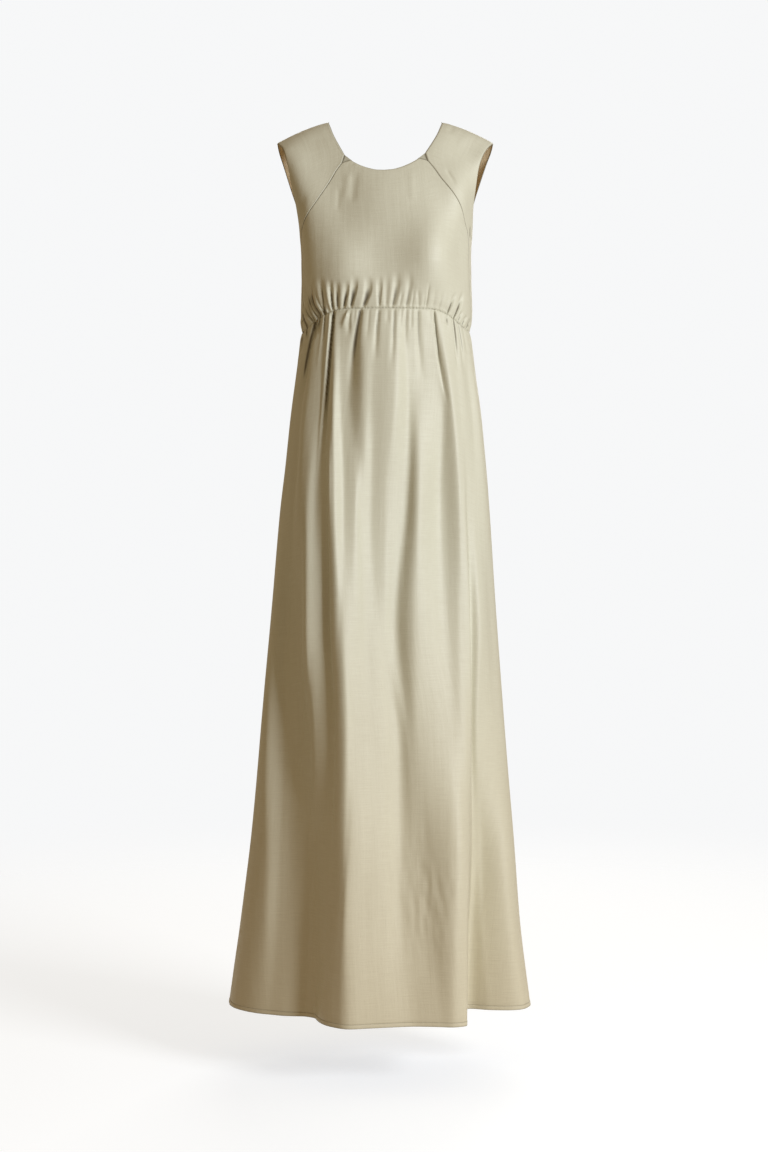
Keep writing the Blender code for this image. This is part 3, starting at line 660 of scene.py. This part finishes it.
def blurred(points, passes):
    # evens out the folds between their lines, leaving the sewn edges where they are
    for _ in range(passes):
        mid = points.copy()
        mid[:, 1:-1] = 0.25 * points[:, :-2] + 0.5 * points[:, 1:-1] + 0.25 * points[:, 2:]
        lift = points.copy()
        lift[1:-1] = 0.25 * mid[:-2] + 0.5 * mid[1:-1] + 0.25 * mid[2:]
        lift[-1] = mid[-1]
        points = lift
    return points


def runAlong(points, axis):
    # distance from the first point along each column (axis 0) or row (axis 1)
    steps = np.linalg.norm(np.diff(points, axis=axis), axis=-1)
    return np.insert(np.cumsum(steps, axis=axis), 0, 0.0, axis=axis)


def clothUv(points):
    # real distances along and across the cloth, so that the weave keeps its size
    v = runAlong(points, 0).mean(axis=1)
    u = runAlong(points, 1)
    u = u - u[:, u.shape[1] // 2][:, None]
    return np.stack((u, np.broadcast_to(v[:, None], u.shape)), axis=-1)


def makePanel(name, node, points, paintedShade, flip, material):
    # a grid, its points moved to the panel's shape, then given its wall and tied to the root, the imported
    # piece of its node hidden
    uv = clothUv(points)
    rowCount, columnCount = points.shape[:2]
    bpy.ops.object.select_all(action="DESELECT")
    bpy.ops.mesh.primitive_grid_add(x_subdivisions=columnCount - 1, y_subdivisions=rowCount - 1, size=1)
    panel = bpy.context.object
    mesh = panel.data
    panel.name = name
    mesh.name = name
    grid = np.empty(len(mesh.vertices) * 3, np.float32)
    mesh.vertices.foreach_get("co", grid)
    grid = grid.reshape(-1, 3)
    column = np.rint((grid[:, 0] + 0.5) * (columnCount - 1)).astype(int)
    row = np.rint((grid[:, 1] + 0.5) * (rowCount - 1)).astype(int)
    mesh.vertices.foreach_set("co", (points[row, column] * mm).astype(np.float32).ravel())
    corner = np.empty(len(mesh.loops), np.int32)
    mesh.loops.foreach_get("vertex_index", corner)
    layer = mesh.uv_layers[0]
    layer.name = "clothMetres"
    layer.data.foreach_set("uv", (uv[row[corner], column[corner]] * mm).astype(np.float32).ravel())
    # painted shade, kept on the points for the material to darken the colour
    dark = mesh.attributes.new("paintedShade", "FLOAT", "POINT")
    dark.data.foreach_set("value", paintedShade[row, column].astype(np.float32))
    mesh.update()
    if flip:
        bpy.ops.object.mode_set(mode="EDIT")
        bpy.ops.mesh.select_all(action="SELECT")
        bpy.ops.mesh.flip_normals()
        bpy.ops.object.mode_set(mode="OBJECT")
    mesh.materials.clear()
    mesh.materials.append(material)
    # the inner faces take the inside material, painted brighter and warmer as if light shone through the
    # cloth
    mesh.materials.append(sageInsidePaintedLight)
    wall = panel.modifiers.new("wall", "SOLIDIFY")
    wall.thickness = shape["cloth"] * mm
    wall.offset = -1.0
    wall.use_even_offset = False
    wall.material_offset = 1
    bpy.ops.object.modifier_apply(modifier="wall")
    bpy.ops.object.shade_smooth_by_angle(angle=math.radians(shape["sharpAngle"]))
    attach(panel, "root")
    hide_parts(node)


def nodeTree(block):
    # a material's or world's nodes, switched on
    block.use_nodes = True
    return block.node_tree


def feed(tree, node, inputs):
    # each input gets a value, or a link from another node's output
    for key, value in inputs.items():
        if isinstance(value, bpy.types.NodeSocket):
            tree.links.new(value, node.inputs[key])
        else:
            node.inputs[key].default_value = value


def addNode(tree, kind, output, inputs, **settings):
    # a new node, set and fed, given back as its output
    node = tree.nodes.new("ShaderNode" + kind)
    for setting, value in settings.items():
        setattr(node, setting, value)
    feed(tree, node, inputs)
    return node.outputs[output]


# Cloth
clothLook = {
    "light": (0.60, 0.60, 0.485),
    "dark": (0.53, 0.52, 0.41),
    # the dark brown that painted shade darkens the cloth towards
    "paintedShade": (0.10, 0.08, 0.045, 1.0),
    # painted light: warm light as if bounced up from the floor, painted into the colour towards the hem
    "paintedFloorBounceTint": (1.04, 0.96, 0.87, 1.0),  # the floor warms the cloth towards the hem
    "paintedFloorBounceHeights": (-0.7, -1.36),  # metres, where that begins and is full
    "roughness": (0.57, 0.47),  # of the dark threads and of the light ones
    # waves across and down the cloth, detail, ends of the noise that are used, what they add to the tone,
    # and what they add to the bump
    "patterns": {
        "slub": (34.0, 900.0, 2.0, (0.3, 0.7), (0.0, 0.56), 1.0),  # long uneven cross threads
        "fineDown": (1400.0, 60.0, 1.0, (0.3, 0.7), (0.0, 0.26), 0.5),  # finer threads down the cloth
        "streak": (130.0, 9.0, 2.0, (0.35, 0.65), (-0.06, 0.06), 1.6),
        "cloud": (7.0, 5.0, 3.0, (0.35, 0.65), (0.0, 0.16), 0.0),
    },
    "threads": 500.0,  # bands of the even weave under them
    "threadWander": 0.6,
    "weaveHigh": 0.45,
    "bump": {"Strength": 0.18, "Distance": 0.0006},
    "shine": {
        "Sheen Weight": 0.3,
        "Sheen Roughness": 0.35,
        "Sheen Tint": (0.93, 0.95, 0.85, 1.0),
        "Specular IOR Level": 0.4,
    },
}


def clothMaterial(name, shade, tint=(1.0, 1.0, 1.0)):
    material = bpy.data.materials.new(name)
    tree = nodeTree(material)
    metres = addNode(tree, "UVMap", "UV", {}, uv_map="clothMetres")

    def texture(kind, scaleU, scaleV, inputs, **settings):
        stretched = addNode(tree, "Mapping", "Vector", {"Vector": metres, "Scale": (scaleU, scaleV, 1.0)})
        return addNode(tree, kind, "Fac", {"Vector": stretched, "Scale": 1.0, **inputs}, **settings)

    def threads(direction, scaleU, scaleV):
        wander = {"Distortion": clothLook["threadWander"]}
        return texture("TexWave", scaleU, scaleV, wander, wave_type="BANDS", bands_direction=direction)

    def spread(value, low, high, toLow, toHigh):
        ends = {"From Min": low, "From Max": high, "To Min": toLow, "To Max": toHigh}
        return addNode(tree, "MapRange", "Result", {"Value": value, **ends})

    def joined(operation, a, b):
        return addNode(tree, "Math", "Value", {0: a, 1: b}, operation=operation)

    def coloured(share, a, b, blend):
        return addNode(tree, "Mix", 2, {0: share, 6: a, 7: b}, data_type="RGBA", blend_type=blend)

    every = clothLook["threads"]
    weave = joined("MULTIPLY", threads("X", every, 0.0), threads("Y", 0.0, every))
    height = spread(weave, 0.0, 1.0, 0.0, clothLook["weaveHigh"])
    mixed = 0.0
    for scaleU, scaleV, detail, used, added, raised in clothLook["patterns"].values():
        pattern = texture("TexNoise", scaleU, scaleV, {"Detail": detail})
        mixed = joined("ADD", mixed, spread(pattern, *used, *added))
        if raised:
            height = joined("ADD", height, spread(pattern, *used, 0.0, raised))
    tone = addNode(tree, "ValToRGB", "Color", {"Fac": mixed})
    for element, end in zip(tone.node.color_ramp.elements, ("dark", "light")):
        element.color = (*[c * t * shade for c, t in zip(clothLook[end], tint)], 1.0)
    place = addNode(tree, "TexCoord", "Object", {})
    # painted warm bounce light, growing towards the hem
    upright = addNode(tree, "SeparateXYZ", "Z", {0: place})
    low = spread(upright, *clothLook["paintedFloorBounceHeights"], 0.0, 1.0)
    colour = coloured(low, tone, clothLook["paintedFloorBounceTint"], "MULTIPLY")
    # painted shade: the colour is mixed towards dark brown by the painted-shade attribute
    paintedShade = addNode(tree, "Attribute", "Fac", {}, attribute_name="paintedShade")
    surface = {
        "Base Color": coloured(paintedShade, colour, clothLook["paintedShade"], "MIX"),
        "Roughness": spread(mixed, 0.0, 1.0, *clothLook["roughness"]),
        "Normal": addNode(tree, "Bump", "Normal", {"Height": height, **clothLook["bump"]}),
    }
    feed(tree, tree.nodes["Principled BSDF"], {**surface, **clothLook["shine"]})
    return material


def unevenRows(piece, more=()):
    # shares of the way up or down from the waist seam, closer together near it and at the other edge
    shares = np.linspace(0.0, 1.0, piece["rows"]) ** piece["rowPower"]
    return np.unique(np.concatenate((shares, piece["edgeRows"], more)))


sage = clothMaterial("sageCloth", 1.0)
# painted shade: the underlaps are a darker copy of the same cloth, as they lie in the notches' shade
sageUnder = clothMaterial("sageUnderlap", 0.8)
# painted light: the inside is a brighter, warmer copy of the cloth, standing in for light through it
sageInsidePaintedLight = clothMaterial("sageInsidePaintedLight", 1.0, (1.32, 1.1, 0.9))

# Front bodice
frontBodice = {
    "columns": 370,
    "rows": 126,
    "rowPower": 1.25,
    "edgeRows": (0.987, 0.991, 0.9945, 0.9975),
    "columnEase": 0.35,  # brings the columns closer together near the long seams
}
bodiceLook = {
    "free": (2.0, 20.0),  # mm above the waist seam where soft forms begin, and over how many they grow
    "calmFront": 10.0,  # mm over which creases grow from a sewn edge
    "calmBack": 14.0,
}

# depth and half width of the grooves along seams and turned edges
grooves = {"seam": (0.9, 1.3), "edge": (0.8, 1.3), "skirtSeam": (0.8, 2.2)}


def seamGroove(distance, kind):
    deep, wide = grooves[kind]
    return deep * hill(distance, wide)


def topGap(points):
    # distance down each column from the top edge
    run = runAlong(points, 0)
    return run[-1:] - run


def edgeGap(points):
    # distance along each row to the nearest sewn edge
    run = runAlong(points, 1)
    return np.minimum(run, run[:, -1:] - run)


def edgePaintedShade(points, angles, above, sewnGap):
    # painted shade along the waist seam, the sewn seams and the turned top edge
    return deepest(waistPaintedShade(angles, above), linePaintedShade(sewnGap, "seam"), linePaintedShade(topGap(points), "edge"))


def seamHeights(shares):
    low, notch = shape["seamSide"], cutLines["seam"][-1][1]
    return low + (notch - low) * shares


def frontBodicePoints():
    across = np.linspace(-1.0, 1.0, frontBodice["columns"])
    across = across + frontBodice["columnEase"] * (np.sin(0.5 * np.pi * across) - across)
    lowDrop = float(dropAt(seamAngle, waist(seamAngle)))
    notchDrop = float(placeOf(*cutLines["seam"][-1])[1])
    lows = dropAt(seamAngle * across, waist(seamAngle * across))
    neckX = np.abs(across) * cutLines["notchTop"][-1][0]
    tops = placeOf(neckX, frontNeck(neckX))[1]
    rows, angles = [], []
    for height in seamHeights(unevenRows(frontBodice)):
        edgeAngle, edgeDrop = placeOf(seamX(height), height)
        up = (lowDrop - edgeDrop) / (lowDrop - notchDrop)
        rows.append(figurePoints(edgeAngle * across, lows + (tops - lows) * up))
        angles.append(edgeAngle * across)
    return np.array(rows), np.array(angles)


def bodiceDetail(points, angles, edgeDistance, seamRidge=0.0):
    above = points[..., 2] - waist(angles)
    swell = bodiceSwell(points, angles)
    pull = seamPull(angles, above, "Bodice") + frontPull(points, angles, above, "Bodice")
    points = points + (puffOut(above, "Bodice") - pull)[..., None] * outwards(points)
    normal = outwardNormals(points)
    slit = creaseHeight(points, "slits")
    soft = creaseHeight(points, "bodice") + slit + softNoise(points, "frontBodice")
    lift = (soft * ease(edgeDistance / bodiceLook["calmFront"]) + swell) * grown(above, bodiceLook["free"])
    lift = lift - seamGroove(edgeDistance, "seam") - seamGroove(topGap(points), "edge") + seamRidge
    # painted shade in the deeper gathers and the slits, and along the seams and edges
    gathered = gatherPaintedShade(points, angles, above, "Bodice")
    paintedShade = deepest(edgePaintedShade(points, angles, above, edgeDistance), gathered, -paintedShadeLook["slitDark"] * slit)
    return points + lift[..., None] * normal, paintedShade


points, angles = frontBodicePoints()
points, paintedShade = bodiceDetail(points, angles, edgeGap(points))
makePanel("bodiceFront", "front_panel", points, paintedShade, False, sage)
print("bodice front done")

# Side fronts, from the waist seam to the shoulder
sideFront = {
    "columns": 110,
    "rows": 165,
    "rowPower": 1.1,
    "edgeRows": (0.9905, 0.9965, 0.9985),
    "columnEase": 0.45,
    "seamShare": 0.74,  # shares of the way up where the long seam ends and where the neckline begins
    "notchShare": 0.78,
    "ridgeHigh": {-1: 0.55, 1: 0.0},  # the left seam shows its turned edge as a ridge
    "ridgeAt": 1.9,
    "ridgeWide": 1.2,
}


def sideFrontPoints(side):
    seamShare, notchShare = sideFront["seamShare"], sideFront["notchShare"]
    neck = np.array(cutLines["sideNeck"])
    neckHeight = curveThrough(np.linspace(notchShare, 1.0, len(neck) - 1), neck[1:, 1])
    neckAt = tableCurve(neck[1:], 1, 0)
    rows, angles = [], []
    along = np.linspace(0.0, 1.0, sideFront["columns"])
    along = along + sideFront["columnEase"] * (0.5 - 0.5 * np.cos(np.pi * along) - along)
    for share in unevenRows(sideFront, (seamShare, notchShare, underarmShare)):
        if share <= seamShare:
            height = float(seamHeights(share / seamShare))
            start = placeOf(seamX(height), height)
        elif share < notchShare:
            blend = (share - seamShare) / (notchShare - seamShare)
            start = placeOf(*(neck[0] + (neck[1] - neck[0]) * blend))
        else:
            height = float(neckHeight(share))
            start = placeOf(float(neckAt(height)), height)
        height = float(outerHeight(share))
        angle = 90.0 if share <= underarmShare else float(armholeFront(height))
        end = (angle, float(dropAt(angle, height)) if share < 1.0 else 0.0)
        rowAngle = start[0] + (end[0] - start[0]) * along
        drop = start[1] + (end[1] - start[1]) * along
        if share == 0.0:
            drop = dropAt(rowAngle, waist(rowAngle))
        rows.append(figurePoints(side * rowAngle, drop))
        angles.append(side * rowAngle)
    return np.array(rows)[:, ::side], np.array(angles)[:, ::side]


for side, label in ((-1, "left"), (1, "right")):
    points, angles = sideFrontPoints(side)
    run = runAlong(points, 1)
    seamGap = run if side > 0 else run[:, -1:] - run
    uneven = 0.6 + 0.4 * np.sin(points[..., 2] / 6.0) * np.sin(points[..., 2] / 17.0 + 1.0)
    turnedEdge = hill(seamGap - sideFront["ridgeAt"], sideFront["ridgeWide"])
    seamRidge = sideFront["ridgeHigh"][side] * uneven * turnedEdge
    points, paintedShade = bodiceDetail(points, angles, edgeGap(points), seamRidge)
    makePanel("bodiceSide" + label.capitalize(), "side_panel_" + label, points, paintedShade, False, sage)
print("side fronts done")

# Back bodice, one piece with two straps
backBodice = {
    "columns": 260,
    "rows": 130,
    "rowPower": 1.15,
    "edgeRows": (underarmShare, 0.9905, 0.9965, 0.9985),
    "neckShare": 0.58,  # of the columns end at the neck, the rest at the straps
    "neckSpread": 1.6,  # moves these out to where the neckline is steep
}


def backBodicePoints():
    across = np.linspace(-1.0, 1.0, backBodice["columns"])
    reach = np.abs(across)
    neckShare = backBodice["neckShare"]
    tipAngle = armholes["back"][0][1]
    neckAngle = float(placeOf(*cutLines["backNeck"][-1])[0])
    low = float(dropAt(90.0, shape["seamSide"]))
    x = shape["neckX"] * (1 - (1 - np.minimum(reach / neckShare, 1.0)) ** backBodice["neckSpread"])
    neckTopAngle, neckTopDrop = placeOf(x, backNeck(x))
    strap = np.clip((reach - neckShare) / (1 - neckShare), 0.0, 1.0)
    topAngle = np.where(reach <= neckShare, neckTopAngle, neckAngle + (tipAngle - neckAngle) * strap)
    topDrop = np.where(reach <= neckShare, neckTopDrop, 0.0)
    lowAngle = 90.0 * reach
    lowDrop = dropAt(lowAngle, shape["seamSide"])
    rows, angles = [], []
    for share in unevenRows(backBodice):
        height = float(outerHeight(share))
        edgeAngle = 90.0 if share <= underarmShare else float(armholeBack(height))
        edgeDrop = float(dropAt(edgeAngle, height)) if share < 1.0 else 0.0
        up = 1 - edgeDrop / low
        straight = 90.0 + (tipAngle - 90.0) * up
        angle = lowAngle + (topAngle - lowAngle) * up + (edgeAngle - straight) * reach**4
        turned = 180.0 - np.copysign(angle, across)
        rows.append(figurePoints(turned, lowDrop + (topDrop - lowDrop) * up))
        angles.append(turned)
    return np.array(rows), np.array(angles)


points, angles = backBodicePoints()
above = points[..., 2] - shape["seamSide"]
out = puffOut(above, "Bodice") - seamPull(angles, above, "Bodice")
points = points + out[..., None] * outwards(points)
sewnGap = edgeGap(points)
lift = softNoise(points, "backBodice") * grown(above, bodiceLook["free"])
lift = lift * ease(sewnGap / bodiceLook["calmBack"])
lift = lift - seamGroove(sewnGap, "seam") - seamGroove(topGap(points), "edge")
points = points + lift[..., None] * outwards(points)
# painted shade along the waist seam, the sewn seams and the turned top edge
paintedShade = edgePaintedShade(points, angles, above, edgeGap(points))
makePanel("bodiceBack", "back_panel", points, paintedShade, True, sage)
print("bodice back done")

# Underlap corners in the notches at the neckline: their four corners as distance from the middle and height
tabShape = {
    "corners": ((49.5, -69.4), (62.7, -57.6), (58.5, -86.0), (76.0, -72.5)),
    "steps": 48,
    "under": 1.2,
    "shadow": 0.8,  # where the panels above lie on it
    "shadowWide": 1.4,
}


def tabPoints(side):
    steps = np.linspace(0.0, 1.0, tabShape["steps"])
    along, down = np.meshgrid(steps, steps)
    weights = ((1 - along) * (1 - down), along * (1 - down), (1 - along) * down, along * down)
    x, height = (sum(w * c[k] for w, c in zip(weights, tabShape["corners"])) for k in (0, 1))
    angle, drop = placeOf(x, height)
    outer = figurePoints(side * angle, drop)
    sideEdge = tableCurve(cutLines["sideNeck"], 1, 0)
    nearest = np.minimum(np.abs(height - notchTop(x)), np.abs(x - sideEdge(height)))
    shadow = tabShape["shadow"] * hill(nearest, tabShape["shadowWide"])
    swell = bodiceSwell(outer, side * angle)
    return outer + (swell - tabShape["under"])[..., None] * outwardNormals(outer), shadow


for side, label in ((-1, "left"), (1, "right")):
    # painted shadow on the underlaps where the panels above lie on them
    points, paintedShade = (values[::-1, ::side] for values in tabPoints(side))
    name, node = "neckTab" + label.capitalize(), "neck_tab_" + label
    makePanel(name, node, points, paintedShade, False, sageUnder)
print("underlaps done")

# Skirt
skirtLook = {
    "front": {"columns": 330, "rows": 140, "rowPower": 1.9, "edgeRows": ()},
    "back": {"columns": 270, "rows": 120, "rowPower": 1.9, "edgeRows": ()},
    "blur": 6,
    "free": (4.0, 60.0),  # mm below the waist seam where the unevenness begins, and over how many it grows
    "calm": 18.0,  # mm over which it grows from the side seams
    "hemTurn": 6.0,
    "hemThick": 0.5,
    "hemRows": (-1.4, -0.6, 0.0, 0.5, 1.2, 3.0, 4.8, 6.0),  # mm below the stitch line
    "hemStep": 0.1,
    "stitchGroove": (0.3, 0.5),  # depth, half width
    "crumple": {"x": 72.0, "height": -1180.0, "wide": 50.0, "tall": 70.0},
}


def withHemRows(points, shares, hemShares):
    # closer rows on the last straight stretch, for the turned hem and its stitch line
    last = (hemShares - shares[-2]) / (shares[-1] - shares[-2])
    extra = points[-2] + (points[-1] - points[-2]) * last[:, None, None]
    return np.concatenate((points[:-1], extra)), np.concatenate((shares[:-1], hemShares))


def crumpled(points):
    # the finely crumpled place low on the right of the front
    spot = skirtLook["crumple"]
    across = hill(points[..., 0] - spot["x"], spot["wide"])
    return softNoise(points, "crumple") * across * hill(points[..., 2] - spot["height"], spot["tall"])


def skirtPanel(name, node, side):
    isFront = side == "front"
    look = skirtLook[side]
    length = shape["seamSide"] - shape["hemHeight"]
    hemShares = 1 - (skirtLook["hemTurn"] - np.array(skirtLook["hemRows"])) / length
    shares = unevenRows(look)
    columns = np.linspace(0.0, skirtFolds[side + "Columns"], look["columns"])
    points, angles = skirtPoints(side, columns, shares)
    points, shares = withHemRows(blurred(points, skirtLook["blur"]), shares, hemShares)
    angles = np.broadcast_to(angles[0], points.shape[:2])
    below = points[0][None, :, 2] - points[..., 2]
    gap = edgeGap(points)
    pull = seamPull(angles, below, "Skirt") + frontPull(points, angles, below, "Skirt")
    points = points - pull[..., None] * outwards(points)
    normal = gridNormals(points) * (-1.0 if isFront else 1.0)
    free = grown(below, skirtLook["free"])
    lift = softNoise(points, side + "Skirt") * free
    if isFront:
        lift = lift + crumpled(points)
    lift = lift * ease(gap / skirtLook["calm"]) - seamGroove(gap, "skirtSeam") * free
    stitchAt = skirtLook["hemRows"].index(0.0)
    fromStitches = ((shares - hemShares[stitchAt]) * length)[:, None]
    deep, wide = skirtLook["stitchGroove"]
    lift = lift + skirtLook["hemThick"] * (fromStitches > skirtLook["hemStep"])
    lift = lift - deep * hill(fromStitches, wide)
    points = points + lift[..., None] * normal
    # painted shade along the hem's stitch line and at its fold
    fromHem = fromStitches - skirtLook["hemTurn"]
    hemDark = deepest(linePaintedShade(fromStitches, "stitch"), linePaintedShade(fromHem, "hem"))
    hemDark = np.broadcast_to(hemDark, below.shape)
    # painted shade in the deeper gathers, dotted along the waist seam and along the side seams
    gathered = gatherPaintedShade(points, angles, below, "Skirt")
    paintedShade = deepest(gathered, waistPaintedShade(angles, below), linePaintedShade(gap, "seam"), hemDark)
    makePanel(name, node, points, paintedShade, isFront, sage)
    stitchRow = len(shares) - len(hemShares) + stitchAt
    return points[stitchRow], normal[stitchRow]


hemLines = {
    "hemStitchesFront": skirtPanel("skirtFront", "skirt_front", "front"),
    "hemStitchesBack": skirtPanel("skirtBack", "skirt_back", "back"),
}
print("skirt done")

# Hem stitches, one row round each skirt panel
hemStitch = {
    "every": 3.2,
    "half": 1.1,
    "radius": 0.22,
    "proud": 0.1,
    "surface": {"Base Color": (0.36, 0.34, 0.25, 1.0), "Roughness": 0.45, "Sheen Weight": 0.2},
    "twists": 900.0,
    "bump": {"Strength": 0.4, "Distance": 0.0001},
}

thread = bpy.data.materials.new("sageThread")
tree = nodeTree(thread)
place = addNode(tree, "TexCoord", "Object", {})
twists = {"Vector": place, "Scale": hemStitch["twists"]}
twist = addNode(tree, "TexWave", "Fac", twists, bands_direction="DIAGONAL")
bump = addNode(tree, "Bump", "Normal", {"Height": twist, **hemStitch["bump"]})
feed(tree, tree.nodes["Principled BSDF"], {"Normal": bump, **hemStitch["surface"]})


def oneStitch():
    # a small ball whose halves are drawn apart into a thread, its line along z
    bpy.ops.object.select_all(action="DESELECT")
    bpy.ops.mesh.primitive_uv_sphere_add(segments=6, ring_count=4, radius=hemStitch["radius"] * mm)
    stitch = bpy.context.object
    stretch = (hemStitch["half"] - hemStitch["radius"]) * mm
    for end in (-1, 1):
        bpy.ops.object.mode_set(mode="EDIT")
        bpy.ops.mesh.select_mode(type="VERT")
        bpy.ops.mesh.select_all(action="DESELECT")
        bpy.ops.object.mode_set(mode="OBJECT")
        for vertex in stitch.data.vertices:
            vertex.select = end * vertex.co.z > 0.1 * hemStitch["radius"] * mm
        bpy.ops.object.mode_set(mode="EDIT")
        bpy.ops.transform.translate(value=(0, 0, end * stretch))
        bpy.ops.object.mode_set(mode="OBJECT")
    stitch.data.materials.append(thread)
    bpy.ops.object.shade_smooth()
    return stitch


def stitchesAlong(name, line, out):
    # copies of one stitch, one after another along the line, joined into one piece
    run = runAlong(line, 0)
    raised = (line + hemStitch["proud"] * out) * mm
    first = oneStitch()
    copies = []
    for middle in np.arange(hemStitch["every"], run[-1] - hemStitch["every"], hemStitch["every"]):
        reaches = (middle - hemStitch["half"], middle + hemStitch["half"])
        start, end = (Vector([np.interp(reach, run, raised[:, k]) for k in range(3)]) for reach in reaches)
        stitch = first.copy()
        stitch.data = first.data.copy()
        stitch.location = (start + end) / 2
        stitch.rotation_mode = "QUATERNION"
        stitch.rotation_quaternion = (end - start).to_track_quat("Z", "Y")
        bpy.context.collection.objects.link(stitch)
        copies.append(stitch)
    bpy.ops.object.select_all(action="DESELECT")
    for stitch in copies:
        stitch.select_set(True)
    bpy.context.view_layer.objects.active = copies[0]
    bpy.ops.object.join()
    row = bpy.context.object
    row.name = name
    bpy.ops.object.transform_apply(location=True, rotation=True, scale=True)
    bpy.data.objects.remove(first)
    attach(row, "root")
    print(f"{name}: {len(copies)} stitches")


for rowName, (line, out) in hemLines.items():
    stitchesAlong(rowName, line, out)
print("hem stitches done")

# Floor, light and camera
stageLook = {
    "floorHeight": -1.46,
    "floorSize": 9.0,
    "floorFade": {"From Min": 0.7, "From Max": 3.2},  # metres from the middle
    "floor": {
        "Base Color": (0.5, 0.5, 0.49, 1.0),
        "Emission Color": (0.605, 0.633, 0.664, 1.0),
        "Emission Strength": 1.0,
        "Roughness": 0.9,
        "Specular IOR Level": 0.1,
    },
    "sky": {"Color": (0.93, 0.935, 0.94, 1.0), "Strength": 1.0},  # as the camera sees it
    "ambient": {"Color": (1.0, 0.74, 0.44, 1.0), "Strength": 0.33},
    "lampsAimAt": (0.0, 0.0, -0.7),
    "sensor": 36.0,
}
bpy.ops.object.select_all(action="DESELECT")
bpy.ops.mesh.primitive_circle_add(
    vertices=96, radius=stageLook["floorSize"], fill_type="NGON", location=(0, 0, stageLook["floorHeight"])
)
floor = bpy.context.object
floor.name = "floor"
floorMaterial = bpy.data.materials.new("paleFloor")
tree = nodeTree(floorMaterial)
floorShader = tree.nodes["Principled BSDF"]
feed(tree, floorShader, stageLook["floor"])
place = addNode(tree, "TexCoord", "Object", {})
away = addNode(tree, "VectorMath", "Value", {0: place}, operation="LENGTH")
faded = {"Value": away, **stageLook["floorFade"]}
fade = addNode(tree, "MapRange", "Result", faded, interpolation_type="SMOOTHSTEP")
clear = addNode(tree, "BsdfTransparent", "BSDF", {})
mix = addNode(tree, "MixShader", "Shader", {0: fade, 1: floorShader.outputs["BSDF"], 2: clear})
feed(tree, tree.nodes["Material Output"], {"Surface": mix})
floor.data.materials.append(floorMaterial)
floor.visible_diffuse = False

world = bpy.data.worlds.new("paleRoom")
bpy.context.scene.world = world
tree = nodeTree(world)
seen = addNode(tree, "Background", "Background", stageLook["sky"])
soft = addNode(tree, "Background", "Background", stageLook["ambient"])
isSeen = addNode(tree, "LightPath", "Is Camera Ray", {})
mix = addNode(tree, "MixShader", "Shader", {0: isSeen, 1: soft, 2: seen})
feed(tree, tree.nodes["World Output"], {"Surface": mix})

lights = {
    "key": {"at": (2.14, -2.18, 0.1), "size": 1.2, "power": 90.5, "colour": (1.0, 1.045, 1.12)},
    "behind": {"at": (0.4, 3.2, 0.8), "size": 2.0, "power": 44.0, "colour": (1.0, 0.99, 0.97)},
}
for lightName, look in lights.items():
    bpy.ops.object.light_add(type="AREA", location=look["at"])
    lamp = bpy.context.object
    lamp.name = lightName
    lamp.data.size = look["size"]
    lamp.data.energy = look["power"]
    lamp.data.color = look["colour"]
    aim = Vector(stageLook["lampsAimAt"]) - Vector(look["at"])
    lamp.rotation_euler = aim.to_track_quat("-Z", "Y").to_euler()

cameraPlace = (view["x"], -view["distance"], view["z"])
bpy.ops.object.camera_add(location=cameraPlace, rotation=(math.radians(90), 0, 0))
camera = bpy.context.object
camera.data.sensor_width = stageLook["sensor"]
camera.data.lens = stageLook["sensor"] * view["distance"] / view["seenHeight"]
bpy.context.scene.camera = camera
bpy.context.scene.view_settings.view_transform = "Standard"
print("stage done")
